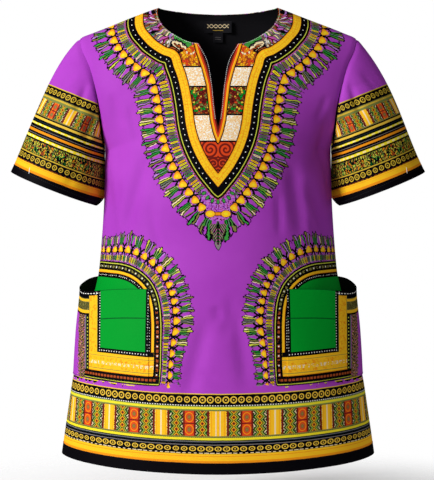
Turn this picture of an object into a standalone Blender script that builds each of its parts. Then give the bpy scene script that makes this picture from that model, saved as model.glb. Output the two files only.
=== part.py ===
"""Dashiki shirt, filled out as it is worn, as thin cloth walls.

The frame is right-handed with +Z up. The front of the shirt faces -Y and the
wearer's left is +X. The origin lies midway between the two points where the
shoulder seams meet the neck opening. Tables are in millimetres; the meshes
that are built from them are in metres.

Each panel is a grid of points on the outside of the cloth. The same grid moved
inwards by the cloth's thickness is its inside, and a rim joins the two. Panels
stop a small gap short of the seam that they share.
"""

import math

import bpy
import numpy as np

MM = 0.001

# Cloth and seams, in millimetres.
CLOTH = 1.5
SEAM_GAP = 0.3
LABEL_CLOTH = 0.9

# Grid sizes.
YOKE_ROWS = 17
ACROSS_FRONT = 5
ACROSS_SIDE = 8
SLEEVE_ROWS = 11

# The front's neck curve, and one side of the slit below it.
FRONT_NECK = (
    # x, y, z
    (100.0, 0.0, 0.0),
    (101.5, -13.0, -5.5),
    (98.0, -32.0, -24.0),
    (86.0, -50.0, -43.0),
    (67.0, -65.0, -57.5),
    (45.0, -77.0, -69.5),
    (31.0, -82.5, -73.0),
)
FRONT_SLIT = (
    # x, y, z
    (31.0, -82.5, -73.0),
    (17.5, -92.0, -98.0),
    (9.0, -104.0, -140.0),
    (5.0, -112.0, -180.0),
    (0.0, -119.0, -215.0),
)

# The back's neck curve, and the centre line below it down to the armpits' level.
BACK_NECK = (
    # x, y, z
    (100.0, 0.0, 0.0),
    (97.0, 11.0, 0.3),
    (82.0, 28.0, 0.0),
    (50.0, 44.0, -1.5),
    (0.0, 52.0, -2.0),
)
BACK_CENTRE = (
    # x, y, z
    (0.0, 52.0, -2.0),
    (0.0, 66.0, -30.0),
    (0.0, 85.0, -85.0),
    (0.0, 100.0, -145.0),
    (0.0, 109.0, -190.0),
    (0.0, 113.0, -232.0),
)
FRONT_NECK_ROWS = 7
BACK_NECK_ROWS = 4

# The two halves of the left armhole, from the shoulder seam to the armpit.
FRONT_ARMHOLE = (
    # x, y, z
    (233.5, 4.0, -50.0),
    (232.0, -14.0, -55.5),
    (227.0, -31.0, -74.0),
    (213.0, -51.0, -105.0),
    (202.0, -61.0, -143.0),
    (196.0, -59.0, -172.0),
    (192.0, -41.0, -213.0),
    (190.0, -20.0, -236.0),
    (190.0, 0.0, -245.0),
)
BACK_ARMHOLE = (
    # x, y, z
    (233.5, 4.0, -50.0),
    (232.5, 22.0, -56.5),
    (229.0, 40.0, -75.0),
    (217.0, 59.0, -105.0),
    (207.0, 67.0, -143.0),
    (200.0, 62.0, -178.0),
    (193.0, 41.0, -217.0),
    (190.5, 20.0, -237.0),
    (190.0, 0.0, -245.0),
)

# How each row crosses the yoke, by the share of the armhole that it has passed:
# the angle it has turned through at the armhole, and how far its middle is blown
# out.
FRONT_YOKE = (
    # armhole_share, turn_degrees, bulge
    (0.00, 25.0, 0.0),
    (0.20, 34.0, 7.0),
    (0.40, 47.0, 10.0),
    (0.60, 60.0, 8.0),
    (0.80, 75.0, 4.0),
    (1.00, 90.0, 0.0),
)
BACK_YOKE = (
    # armhole_share, turn_degrees, bulge
    (0.00, 25.0, 0.0),
    (0.12, 30.0, 6.0),
    (0.25, 38.0, 11.0),
    (0.50, 55.0, 9.0),
    (0.80, 76.0, 3.0),
    (1.00, 90.0, 0.0),
)

# Level sections of the body below the armpits.
BODY_SECTIONS = (
    # z_front, z_side, z_back, half_width, front_depth, back_depth
    (-215.0, -245.0, -232.0, 190.0, 119.0, 113.0),
    (-322.0, -337.0, -330.0, 192.5, 126.0, 116.0),
    (-420.0, -429.0, -425.0, 199.0, 131.0, 119.0),
    (-470.0, -470.0, -468.0, 206.0, 135.0, 124.0),
    (-548.0, -544.0, -545.0, 226.5, 140.0, 133.0),
    (-622.0, -616.0, -619.0, 243.0, 146.0, 141.0),
    (-690.0, -680.0, -686.0, 253.0, 151.0, 147.0),
    (-760.0, -748.0, -756.0, 263.0, 155.0, 151.0),
)
SECTION_ROWS = (4, 4, 2, 4, 4, 3, 3)
POCKET_TOP_SECTION = 3
POCKET_BOTTOM_SECTION = 5

# Patch pockets that wrap round the side seams.
POCKET_FRONT_EDGE = 110.0
POCKET_STAND_OFF = 26.0
POCKET_STAND_FROM = 62.0
POCKET_STAND_TO = 140.0
POCKET_BACK_COLUMNS = 6
POCKET_BACK_RISE = 16.0
POCKET_FRONT_DIP = 6.0

# Soft folds in the body: troughs have a positive depth, ridges a negative one.
BODY_FOLDS = (
    # x0, z0, x1, z1, depth, half_width, on_front
    (-205.0, -170.0, -150.0, -345.0, 6.0, 17.0, True),
    (-160.0, -205.0, -105.0, -395.0, 4.0, 15.0, True),
    (-196.0, -265.0, -165.0, -450.0, 5.0, 15.0, True),
    (120.0, -240.0, 150.0, -330.0, 4.0, 18.0, True),
    (196.0, -215.0, 150.0, -300.0, 5.0, 15.0, True),
    (25.0, -480.0, 48.0, -640.0, 4.0, 20.0, True),
    (-20.0, -520.0, -52.0, -660.0, 3.0, 18.0, True),
    (205.0, -180.0, 140.0, -330.0, 6.0, 17.0, False),
    (198.0, -270.0, 160.0, -440.0, 5.0, 15.0, False),
    (-200.0, -190.0, -130.0, -320.0, 5.0, 16.0, False),
    (-194.0, -280.0, -158.0, -430.0, 4.0, 15.0, False),
    (60.0, -430.0, 90.0, -660.0, 5.0, 24.0, False),
    (-70.0, -470.0, -50.0, -650.0, 4.0, 22.0, False),
    (5.0, -60.0, -8.0, -190.0, 3.0, 22.0, False),
)

# The left sleeve's mouth.
CUFF_OUTER = (349.0, -275.5)
CUFF_INNER = (201.5, -333.5)
CUFF_HALF_DEPTH = 70.0
CUFF_FRONT_DROP = 5.0

# Which way the sleeve leaves the armhole and meets its mouth.
SLEEVE_DIRECTIONS = (
    # armhole_share, leave_x, leave_y, leave_z, meet_x, meet_y, meet_z
    (0.00, 0.70, 0.00, -0.71, 0.45, 0.00, -0.89),
    (0.25, 0.65, -0.22, -0.73, 0.40, -0.02, -0.92),
    (0.50, 0.50, -0.26, -0.82, 0.32, -0.04, -0.95),
    (0.75, 0.28, -0.16, -0.95, 0.22, -0.03, -0.97),
    (1.00, 0.10, 0.00, -0.99, 0.13, 0.00, -0.99),
)

# Soft folds in a sleeve, by the share round its front or back and down it.
SLEEVE_FOLDS = (
    # share0, down0, share1, down1, depth, half_share, on_front
    (0.93, 0.05, 0.62, 0.50, 5.0, 0.055, True),
    (0.80, 0.05, 0.42, 0.42, 3.5, 0.050, True),
    (0.30, 0.10, 0.20, 0.45, 3.0, 0.055, True),
    (0.93, 0.05, 0.60, 0.55, 5.0, 0.060, False),
    (0.75, 0.05, 0.40, 0.45, 3.5, 0.055, False),
)

# The woven label inside the back of the neck, and the tab below it.
LABEL_WIDTH = 47.0
LABEL_HEIGHT = 21.0
LABEL_TOP = 11.0
TAB_WIDTH = 17.0
TAB_HEIGHT = 17.0
LABEL_BEND = 2.2


def clear_scene():
    """Remove every object of the scene."""
    for item in list(bpy.data.objects):
        bpy.data.objects.remove(item, do_unlink=True)


def cloth_material(name, colour, roughness):
    """Return a Principled material of one colour."""
    material = bpy.data.materials.new(name)
    material.use_nodes = True
    shader = material.node_tree.nodes["Principled BSDF"]
    shader.inputs["Base Color"].default_value = (*colour, 1.0)
    shader.inputs["Roughness"].default_value = roughness
    shader.inputs["Metallic"].default_value = 0.0
    return material


def read_table(keys, values, at):
    """Read a table of values smoothly between its keys, with cubic pieces.

    The slope at each key is that of a parabola through it and its neighbours.
    """
    keys = np.asarray(keys, dtype=float)
    values = np.asarray(values, dtype=float)
    at = np.atleast_1d(np.asarray(at, dtype=float))
    slopes = np.gradient(values, keys, axis=0)
    piece = np.clip(np.searchsorted(keys, at, side="right") - 1, 0, len(keys) - 2)
    span = keys[piece + 1] - keys[piece]
    t = np.clip((at - keys[piece]) / span, 0.0, 1.0)
    if values.ndim > 1:
        t = t[:, None]
        span = span[:, None]
    start = (1.0 + 2.0 * t) * (1.0 - t) ** 2 * values[piece]
    end = t * t * (3.0 - 2.0 * t) * values[piece + 1]
    leave = t * (1.0 - t) ** 2 * span * slopes[piece]
    meet = -t * t * (1.0 - t) * span * slopes[piece + 1]
    return start + end + leave + meet


def along_curve(points, shares):
    """Return points at shares of the length of a smooth curve through points."""
    points = np.asarray(points, dtype=float)
    steps = np.linalg.norm(np.diff(points, axis=0), axis=1)
    length = np.concatenate([[0.0], np.cumsum(steps)])
    return read_table(length, points, np.asarray(shares) * length[-1])


def ease(value):
    """Return a smooth step from 0 to 1."""
    value = np.clip(value, 0.0, 1.0)
    return value * value * (3.0 - 2.0 * value)


def unit(vectors):
    """Return vectors at length one."""
    length = np.linalg.norm(vectors, axis=-1, keepdims=True)
    return vectors / np.maximum(length, 1e-9)


def section_rows():
    """Return each body section's columns at every row below the armpits."""
    keys = np.arange(len(BODY_SECTIONS), dtype=float)
    at = [0.0]
    for index, count in enumerate(SECTION_ROWS):
        at.extend(index + (step + 1) / count for step in range(count))
    return read_table(keys, BODY_SECTIONS, at)


def first_row_of(section):
    """Return the row of the lower body where a section of the table lies."""
    return sum(SECTION_ROWS[:section])


def column_shares(edge_share):
    """Return the turn at each column, with one column on the pocket's edge."""
    inner = np.linspace(0.0, 1.0, ACROSS_FRONT + 1)[:-1]
    outer = np.linspace(0.0, 1.0, ACROSS_SIDE + 1)
    return np.concatenate([edge_share * inner, edge_share + (1.0 - edge_share) * outer])


def pocket_edge_turn(half_width):
    """Return the turn, in radians, at which the body reaches the pocket's edge."""
    return np.arcsin(POCKET_FRONT_EDGE / half_width)


def yoke_half(neck, below, neck_rows, armhole, yoke, side_sign):
    """Return the left half of a panel's yoke, from the shoulder to the armpit.

    Each row is part of an ellipse in plan. It starts at the opening's edge and
    ends at the armhole after turning through the angle in the table.
    """
    shares = np.linspace(0.0, 1.0, YOKE_ROWS)
    columns = read_table([row[0] for row in yoke], [row[1:] for row in yoke], shares)
    inner = np.concatenate([
        along_curve(neck, np.linspace(0.0, 1.0, neck_rows + 1)[:-1]),
        along_curve(below, np.linspace(0.0, 1.0, YOKE_ROWS - neck_rows))])
    outer = along_curve(armhole, shares)
    turn = np.radians(columns[:, 0])[:, None]
    start = np.arcsin(inner[:, :1] / outer[:, :1] * np.sin(turn))
    edge = pocket_edge_turn(BODY_SECTIONS[0][3]) / (math.pi / 2)
    across = column_shares(edge)[None, :]
    angle = start + (turn - start) * across
    x = outer[:, :1] * np.sin(angle) / np.sin(turn)
    shape = (np.cos(angle) - np.cos(turn)) / (np.cos(start) - np.cos(turn))
    y = outer[:, 1:2] + (inner[:, 1:2] - outer[:, 1:2]) * shape
    passed = np.clip((x - inner[:, :1]) / (outer[:, :1] - inner[:, :1]), 0.0, 1.0)
    y = y + side_sign * columns[:, 1:2] * np.sin(math.pi * passed)
    bend = 1.16 + 0.44 * ease(shares)[:, None]
    z = inner[:, 2:3] + (outer[:, 2:3] - inner[:, 2:3]) * passed ** bend
    return np.stack([x, y, z], axis=-1)


def body_half(side_sign):
    """Return the left half of the body below the armpits, front or back."""
    table = section_rows()
    middle, side = table[:, 0 if side_sign < 0 else 2], table[:, 1]
    width = table[:, 3]
    depth = table[:, 4 if side_sign < 0 else 5]
    edge = pocket_edge_turn(width)
    angles = np.array([column_shares(e / (math.pi / 2)) for e in edge]) * math.pi / 2
    x = width[:, None] * np.sin(angles)
    y = side_sign * depth[:, None] * np.cos(angles)
    z = middle[:, None] + (side - middle)[:, None] * np.sin(angles) ** 2
    return np.stack([x, y, z], axis=-1)


def pull_back(points, axis, at_start):
    """Move a grid's first or last row half a seam gap into the grid."""
    lines = np.moveaxis(points, axis, 0)
    edge, inside = (0, 1) if at_start else (-1, -2)
    towards = unit(lines[inside] - lines[edge])
    lines[edge] = lines[edge] + towards * SEAM_GAP / 2
    return np.moveaxis(lines, 0, axis)


def panel_half(side_sign):
    """Return the left half of the front (-1) or the back (1), as rows of points."""
    if side_sign < 0:
        yoke = yoke_half(
            FRONT_NECK, FRONT_SLIT, FRONT_NECK_ROWS, FRONT_ARMHOLE, FRONT_YOKE, side_sign)
    else:
        yoke = yoke_half(
            BACK_NECK, BACK_CENTRE, BACK_NECK_ROWS, BACK_ARMHOLE, BACK_YOKE, side_sign)
    return np.concatenate([yoke, body_half(side_sign)[1:]], axis=0)


def fold_depth(points, side_sign):
    """Return how deep the soft folds are at each point of a body panel."""
    depth = np.zeros(points.shape[:-1])
    x, z = points[..., 0], points[..., 2]
    for x0, z0, x1, z1, fold, half_width, on_front in BODY_FOLDS:
        if on_front != (side_sign < 0):
            continue
        run_x, run_z = x1 - x0, z1 - z0
        length = math.hypot(run_x, run_z)
        passed = ((x - x0) * run_x + (z - z0) * run_z) / length ** 2
        off = ((x - x0) * run_z - (z - z0) * run_x) / length
        ends = ease(passed / 0.3) * ease((1.0 - passed) / 0.3)
        depth += fold * ends * np.exp(-((off / half_width) ** 2))
    return depth


def grid_normals(points):
    """Return a grid's unit normals, from the slopes along rows and columns."""
    down = np.gradient(points, axis=0)
    across = np.gradient(points, axis=1)
    return unit(np.cross(across, down))


def outward(normals, points, centre):
    """Turn normals round as a whole if they point at the centre."""
    if np.sum(normals * (points - centre)) < 0.0:
        return -normals
    return normals


def folded_panel(side_sign, mirror):
    """Return one half of a body panel with its folds, and its outward normals."""
    points = panel_half(side_sign)
    normals = outward(grid_normals(points), points, np.array([0.0, 0.0, -380.0]))
    on_middle = np.abs(points[:, 0, 0]) < 1e-6
    normals[on_middle, 0, 0] = 0.0
    normals = unit(normals)
    if mirror:
        points = points * (-1.0, 1.0, 1.0)
        normals = normals * (-1.0, 1.0, 1.0)
    depth = fold_depth(points, side_sign)
    across = np.ones(points.shape[1])
    across[-3:] = (0.6, 0.25, 0.0)
    points = points - normals * (depth * across)[..., None]
    points = pull_back(points, 0, True)
    points = pull_back(points, 1, False)
    points[on_middle, 0, 0] = 0.0
    return points, normals


def sleeve_grid(mirror):
    """Return a sleeve's outer points, ring by ring from the armhole to its mouth."""
    shares = np.linspace(0.0, 1.0, YOKE_ROWS)
    directions = read_table(
        [row[0] for row in SLEEVE_DIRECTIONS], [row[1:] for row in SLEEVE_DIRECTIONS], shares)
    outer = np.array([CUFF_OUTER[0], 0.0, CUFF_OUTER[1]])
    inner = np.array([CUFF_INNER[0], 0.0, CUFF_INNER[1]])
    centre = (outer + inner) / 2
    halves = []
    for sign, armhole in ((-1.0, FRONT_ARMHOLE), (1.0, BACK_ARMHOLE)):
        start = along_curve(armhole, shares)
        angle = shares[:, None] * math.pi
        end = centre + (outer - centre) * np.cos(angle)
        end = end + np.sin(angle) * (0.0, sign * CUFF_HALF_DEPTH, -CUFF_FRONT_DROP)
        flip = (1.0, -sign, 1.0)
        leave, meet = unit(directions[:, :3]) * flip, unit(directions[:, 3:]) * flip
        reach = np.linalg.norm(end - start, axis=1, keepdims=True)
        start = start + leave * SEAM_GAP / 2
        start[:, 0] += 0.45 * ease((shares - 0.45) / 0.3)
        down = np.linspace(0.0, 1.0, SLEEVE_ROWS)[:, None, None]
        half = (1 + 2 * down) * (1 - down) ** 2 * start
        half = half + down ** 2 * (3 - 2 * down) * end
        half = half + down * (1 - down) ** 2 * reach * leave
        half = half - down ** 2 * (1 - down) * reach * meet
        halves.append(half)
    points = np.concatenate([halves[0], halves[1][:, -2:0:-1]], axis=1)
    if mirror:
        points = points * (-1.0, 1.0, 1.0)
    return points


def ring_normals(points):
    """Return outward unit normals of a grid whose columns close into a ring."""
    wrapped = np.concatenate([points[:, -2:], points, points[:, :2]], axis=1)
    normals = grid_normals(wrapped)[:, 2:-2]
    return outward(normals, points, points.mean(axis=1, keepdims=True))


def sleeve_fold_depth():
    """Return how deep a sleeve's folds are at each of its points."""
    shares = np.linspace(0.0, 1.0, YOKE_ROWS)
    down = np.linspace(0.0, 1.0, SLEEVE_ROWS)[:, None]
    halves = []
    for front in (True, False):
        depth = np.zeros((SLEEVE_ROWS, YOKE_ROWS))
        for share0, down0, share1, down1, fold, half_share, on_front in SLEEVE_FOLDS:
            if on_front != front:
                continue
            passed = np.clip((down - down0) / (down1 - down0), 0.0, 1.0)
            middle = share0 + (share1 - share0) * passed
            reach = ease((down - down0) / 0.15) * ease((down1 - down) / 0.2 + 0.2)
            depth += fold * reach * np.exp(-(((shares - middle) / half_share) ** 2))
        halves.append(depth)
    return np.concatenate([halves[0], halves[1][:, -2:0:-1]], axis=1)


def pocket_grid(mirror):
    """Return a pocket's points: the body's own, from the front edge round the side.

    The pocket stands off the body most at the side of its mouth, and meets the
    body at its edges and its bottom. Its mouth rises towards the back.
    """
    front, front_normals = folded_panel(-1.0, mirror)
    back, back_normals = folded_panel(1.0, mirror)
    top = YOKE_ROWS - 1 + first_row_of(POCKET_TOP_SECTION)
    bottom = YOKE_ROWS - 1 + first_row_of(POCKET_BOTTOM_SECTION)
    rows = slice(top, bottom + 1)
    last = front.shape[1] - 1
    first_back = last - POCKET_BACK_COLUMNS
    side = (front[rows, last:] + back[rows, last:]) / 2
    side_normals = unit(front_normals[rows, last:] + back_normals[rows, last:])
    points = np.concatenate(
        [front[rows, ACROSS_FRONT:last], side, back[rows, first_back:last][:, ::-1]], axis=1)
    normals = np.concatenate(
        [front_normals[rows, ACROSS_FRONT:last], side_normals,
         back_normals[rows, first_back:last][:, ::-1]], axis=1)
    depth = np.abs(points[..., 1])
    near_side = ease((POCKET_STAND_TO - depth) / (POCKET_STAND_TO - POCKET_STAND_FROM) - 0.35)
    down = np.linspace(0.0, 1.0, points.shape[0])[:, None]
    stand = POCKET_STAND_OFF * near_side * (1.0 - down) ** 1.1
    push = unit(normals * (1.0, 0.35, 0.0))
    base = points + normals * SEAM_GAP
    inner = base + push * stand[..., None]
    rise = POCKET_BACK_RISE * ease((points[..., 1] + 15.0) / 75.0)
    rise = rise - POCKET_FRONT_DIP * np.exp(-(((points[..., 1] + 50.0) / 30.0) ** 2))
    up = -unit(np.gradient(points, axis=0))
    inner = inner + up * (rise * (1.0 - down) ** 1.5)[..., None]
    return inner, inner + normals * CLOTH


def quad_faces(rows, columns, ring):
    """Return the quads of a grid as index arrays, with the columns closed or not."""
    last = columns if ring else columns - 1
    row, column = np.meshgrid(np.arange(rows - 1), np.arange(last), indexing="ij")
    following = (column + 1) % columns
    faces = [row * columns + column, row * columns + following,
             (row + 1) * columns + following, (row + 1) * columns + column]
    return np.stack(faces, axis=-1).reshape(-1, 4)


def closed_wall(name, outer, inner, faces, material):
    """Build one closed wall from outer and inner points that share their faces.

    The rim follows every edge that only one face of the sheet has. The whole
    solid is turned inside out if its volume comes out negative.
    """
    count = len(outer)
    edges = {}
    for face in faces.tolist():
        for start, end in zip(face, face[1:] + face[:1]):
            edges[(start, end)] = True
    rims = [(end, start, start + count, end + count)
            for start, end in edges if (end, start) not in edges]
    everything = [tuple(face) for face in faces.tolist()]
    everything += [tuple(index + count for index in reversed(face)) for face in faces.tolist()]
    everything += rims
    points = np.concatenate([outer, inner])
    volume = 0.0
    for face in everything:
        corner, *others = points[list(face)]
        for second, third in zip(others, others[1:]):
            volume += float(np.dot(corner, np.cross(second, third)))
    if volume < 0.0:
        everything = [tuple(reversed(face)) for face in everything]
    mesh = bpy.data.meshes.new(name)
    mesh.from_pydata((points * MM).tolist(), [], everything)
    mesh.validate()
    mesh.materials.append(material)
    mesh.shade_smooth()
    mesh.set_sharp_from_angle(angle=math.radians(40.0))
    item = bpy.data.objects.new(name, mesh)
    bpy.context.scene.collection.objects.link(item)
    return item


def merge_halves(left):
    """Return the faces of a panel whose left half is followed by its mirror image.

    The two halves share their first column wherever it lies on the middle.
    """
    rows, columns = left.shape[:2]
    left_ids = np.arange(rows * columns).reshape(rows, columns)
    right_ids = left_ids + rows * columns
    on_middle = np.abs(left[:, 0, 0]) < 1e-6
    right_ids[on_middle, 0] = left_ids[on_middle, 0]
    faces = quad_faces(rows, columns, False)
    right_faces = right_ids.reshape(-1)[faces][:, ::-1]
    return np.concatenate([left_ids.reshape(-1)[faces], right_faces])


def drop_unused(outer, inner, faces):
    """Drop the points that no face uses."""
    used = np.unique(faces)
    renumber = np.full(len(outer), -1)
    renumber[used] = np.arange(len(used))
    return outer[used], inner[used], renumber[faces]


def shared_seam_normals():
    """Return the panels' and sleeves' points and normals with seams agreed.

    Where two panels meet nearly flat, both use the mean of their normals, so
    their cut edges are parallel. Where they fold back on each other, each
    keeps its own.
    """
    shapes = {}
    for mirror in (False, True):
        front = folded_panel(-1.0, mirror)
        back = folded_panel(1.0, mirror)
        points = sleeve_grid(mirror)
        normals = ring_normals(points)
        points = points - normals * sleeve_fold_depth()[..., None]
        shoulder = unit(front[1][0] + back[1][0])
        front[1][0] = shoulder
        back[1][0] = shoulder
        side = unit(front[1][YOKE_ROWS - 1:, -1] + back[1][YOKE_ROWS - 1:, -1])
        front[1][YOKE_ROWS - 1:, -1] = side
        back[1][YOKE_ROWS - 1:, -1] = side
        last = YOKE_ROWS - 1
        for panel, ring in ((front[1], np.arange(YOKE_ROWS)),
                            (back[1], -np.arange(YOKE_ROWS) % (2 * last))):
            own = panel[:YOKE_ROWS, -1].copy()
            sleeve = normals[0, ring].copy()
            agree = ease((np.sum(own * sleeve, axis=1) - 0.1) / 0.4)[:, None]
            mean = unit(own + sleeve)
            panel[:YOKE_ROWS, -1] = unit(own + (mean - own) * agree)
            normals[0, ring] = unit(sleeve + (mean - sleeve) * agree)
        corner = unit(front[1][0, -1] + back[1][0, -1] + normals[0, 0])
        front[1][0, -1] = corner
        back[1][0, -1] = corner
        normals[0, 0] = corner
        shapes[mirror] = (front, back, (points, normals))
    return shapes


def build_panel(name, halves, material):
    """Build the front or the back from its two halves."""
    (left, left_normals), (right, right_normals) = halves
    faces = merge_halves(left)
    outer = np.concatenate([left.reshape(-1, 3), right.reshape(-1, 3)])
    normals = np.concatenate([left_normals.reshape(-1, 3), right_normals.reshape(-1, 3)])
    middle = np.abs(outer[:, 0]) < 1e-6
    normals[middle, 0] = 0.0
    inner = outer - unit(normals) * CLOTH
    closed_wall(name, *drop_unused(outer, inner, faces), material)


def build_sleeve(name, points, normals, material):
    """Build a sleeve as a tube of cloth that is open at both ends."""
    faces = quad_faces(points.shape[0], points.shape[1], True)
    inner = points - normals * CLOTH
    closed_wall(name, points.reshape(-1, 3), inner.reshape(-1, 3), faces, material)


def build_pocket(name, mirror, material):
    """Build a pocket that lies on the body's own points, moved out."""
    inner, outer = pocket_grid(mirror)
    faces = quad_faces(outer.shape[0], outer.shape[1], False)
    closed_wall(name, outer.reshape(-1, 3), inner.reshape(-1, 3), faces, material)


def build_label(name, width, top, height, material):
    """Build a small woven label that hangs against the inside of the back."""
    centre_line = np.asarray(BACK_CENTRE)
    depths = top + np.linspace(0.0, height, 4)
    line = along_curve(centre_line, depths / np.sum(
        np.linalg.norm(np.diff(centre_line, axis=0), axis=1)))
    slope = unit(np.gradient(line, axis=0))
    inward = np.stack([slope[:, 0], slope[:, 2], -slope[:, 1]], axis=1)
    across = np.linspace(-width / 2, width / 2, 5)
    sheet = line[:, None, :] + inward[:, None, :] * (CLOTH + 4 * SEAM_GAP)
    sheet = np.repeat(sheet, len(across), axis=1)
    sheet[..., 0] = across
    sheet[..., 1] -= (across / (width / 2)) ** 2 * LABEL_BEND * (width / LABEL_WIDTH) ** 2
    thick = sheet + inward[:, None, :] * LABEL_CLOTH
    faces = quad_faces(len(line), len(across), False)
    closed_wall(name, sheet.reshape(-1, 3), thick.reshape(-1, 3), faces, material)


def main():
    """Build every piece of the shirt."""
    clear_scene()
    body_cloth = cloth_material("printed_cotton_body", (0.45, 0.06, 0.56), 0.55)
    back_cloth = cloth_material("printed_cotton_back", (0.42, 0.05, 0.52), 0.55)
    sleeve_cloth = cloth_material("printed_cotton_sleeve", (0.40, 0.05, 0.50), 0.55)
    pocket_cloth = cloth_material("printed_cotton_pocket", (0.03, 0.30, 0.08), 0.55)
    label_cloth = cloth_material("woven_label", (0.02, 0.02, 0.02), 0.6)
    shapes = shared_seam_normals()
    build_panel("front", (shapes[False][0], shapes[True][0]), body_cloth)
    build_panel("back", (shapes[False][1], shapes[True][1]), back_cloth)
    for mirror, side in ((False, "left"), (True, "right")):
        points, normals = shapes[mirror][2]
        build_sleeve(f"sleeve_{side}", points, normals, sleeve_cloth)
        build_pocket(f"pocket_{side}", mirror, pocket_cloth)
    build_label("neck_label", LABEL_WIDTH, LABEL_TOP, LABEL_HEIGHT, label_cloth)
    tab_top = LABEL_TOP + LABEL_HEIGHT + SEAM_GAP
    build_label("size_tab", TAB_WIDTH, tab_top, TAB_HEIGHT, label_cloth)


if __name__ == "__main__":
    main()
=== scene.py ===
"""Dashiki shirt, dressed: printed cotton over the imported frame.

The front of the shirt faces -Y, +Z is up and the wearer's left is +X. The
shirt's own sizes are in millimetres; meshes are in metres. Every cloth piece
is a thin shell on the form of its solid, with finer folds. The print is drawn
by the materials from distances that each piece carries as attributes.
"""

import logging
import math
from dataclasses import dataclass, field
from enum import Enum
from functools import cache
from typing import Callable, Dict, List, Optional, Sequence, Tuple

import bpy
import numpy as np
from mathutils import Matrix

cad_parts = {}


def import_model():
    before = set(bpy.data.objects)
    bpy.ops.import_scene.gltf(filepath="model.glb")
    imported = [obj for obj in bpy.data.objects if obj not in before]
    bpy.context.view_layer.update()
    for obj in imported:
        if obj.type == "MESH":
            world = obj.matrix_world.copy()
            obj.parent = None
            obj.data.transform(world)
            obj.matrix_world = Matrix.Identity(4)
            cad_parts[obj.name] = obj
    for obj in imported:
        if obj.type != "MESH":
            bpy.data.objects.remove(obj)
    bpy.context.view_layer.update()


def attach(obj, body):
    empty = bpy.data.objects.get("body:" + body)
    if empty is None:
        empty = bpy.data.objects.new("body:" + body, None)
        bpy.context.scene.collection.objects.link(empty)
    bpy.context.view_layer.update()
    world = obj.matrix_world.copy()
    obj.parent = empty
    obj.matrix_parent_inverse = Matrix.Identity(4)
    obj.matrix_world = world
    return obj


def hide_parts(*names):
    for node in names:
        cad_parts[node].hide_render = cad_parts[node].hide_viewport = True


LOG = logging.getLogger("dashiki")
MM = 0.001
SHELL = 0.9
FLOOR = -860.0
ON_MIDDLE = 1e-6
HEM_REACH = 126.4
CUFF_REACH = 160.4
IMAGE_WIDTH = 434
IMAGE_HEIGHT = 480
MIRROR = (-1.0, 1.0, 1.0)

Colour = Tuple[float, float, float]


class Side(Enum):
    """The front or the back of the body, as the sign of Y."""

    FRONT = -1
    BACK = 1


class Motif(Enum):
    """The small repeats that a woven or printed band can carry."""

    RINGS = "rings"
    OVALS = "ovals"
    DASHES = "dashes"
    DOTS = "dots"
    BLOCKS = "blocks"
    SQUIGGLES = "squiggles"


# Colours of the print, as linear values.
PURPLE: Colour = (0.41, 0.056, 0.52)
DEEP_PURPLE: Colour = (0.25, 0.012, 0.34)
LILAC: Colour = (0.46, 0.20, 0.62)
PINK: Colour = (0.62, 0.10, 0.42)
GOLD: Colour = (0.95, 0.52, 0.015)
AMBER: Colour = (0.85, 0.28, 0.008)
YELLOW: Colour = (0.90, 0.72, 0.02)
LIME: Colour = (0.58, 0.62, 0.06)
CREAM: Colour = (0.90, 0.72, 0.42)
WHITE: Colour = (0.92, 0.90, 0.84)
BLACK: Colour = (0.002, 0.0015, 0.003)
TEAL: Colour = (0.01, 0.035, 0.045)
GREEN: Colour = (0.0, 0.31, 0.024)
DARK_GREEN: Colour = (0.0, 0.10, 0.015)
LEAF: Colour = (0.05, 0.30, 0.05)
GREY_GREEN: Colour = (0.13, 0.17, 0.11)
OLIVE: Colour = (0.22, 0.20, 0.05)
RED: Colour = (0.70, 0.06, 0.012)
DARK_RED: Colour = (0.16, 0.012, 0.008)
RUST: Colour = (0.38, 0.07, 0.015)
GREY: Colour = (0.22, 0.20, 0.20)
STRAW: Colour = (0.78, 0.50, 0.05)
DULL_STRAW: Colour = (0.62, 0.42, 0.035)


def read_table(keys: Sequence[float], values: np.ndarray, at: np.ndarray) -> np.ndarray:
    """Read a table smoothly between its keys with cubic pieces.

    The slope at each key is that of a parabola through it and its neighbours.

    Args:
        keys: The rising keys.
        values: One value or one row of values for each key.
        at: Where to read.

    Returns:
        The values read.
    """
    keys = np.asarray(keys, dtype=float)
    values = np.asarray(values, dtype=float)
    at = np.atleast_1d(np.asarray(at, dtype=float))
    slopes = np.gradient(values, keys, axis=0)
    piece = np.clip(np.searchsorted(keys, at, side="right") - 1, 0, len(keys) - 2)
    span = keys[piece + 1] - keys[piece]
    t = np.clip((at - keys[piece]) / span, 0.0, 1.0)
    if values.ndim > 1:
        t = t[:, None]
        span = span[:, None]
    start = (1.0 + 2.0 * t) * (1.0 - t) ** 2 * values[piece]
    end = t * t * (3.0 - 2.0 * t) * values[piece + 1]
    leave = t * (1.0 - t) ** 2 * span * slopes[piece]
    meet = -t * t * (1.0 - t) * span * slopes[piece + 1]
    return start + end + leave + meet


def along_curve(points: Sequence[Sequence[float]], shares: np.ndarray) -> np.ndarray:
    """Return points at shares of the length of a smooth curve through points."""
    spots = np.asarray(points, dtype=float)
    steps = np.linalg.norm(np.diff(spots, axis=0), axis=1)
    length = np.concatenate([[0.0], np.cumsum(steps)])
    return read_table(length, spots, np.asarray(shares) * length[-1])


def ease(value: np.ndarray) -> np.ndarray:
    """Return a smooth step from 0 to 1."""
    value = np.clip(value, 0.0, 1.0)
    return value * value * (3.0 - 2.0 * value)


def unit(vectors: np.ndarray) -> np.ndarray:
    """Return vectors at length one."""
    return vectors / np.maximum(np.linalg.norm(vectors, axis=-1, keepdims=True), 1e-9)


def grid_normals(points: np.ndarray) -> np.ndarray:
    """Return a grid's unit normals: the cross product of its two slopes."""
    return unit(np.cross(np.gradient(points, axis=1), np.gradient(points, axis=0)))


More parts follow.
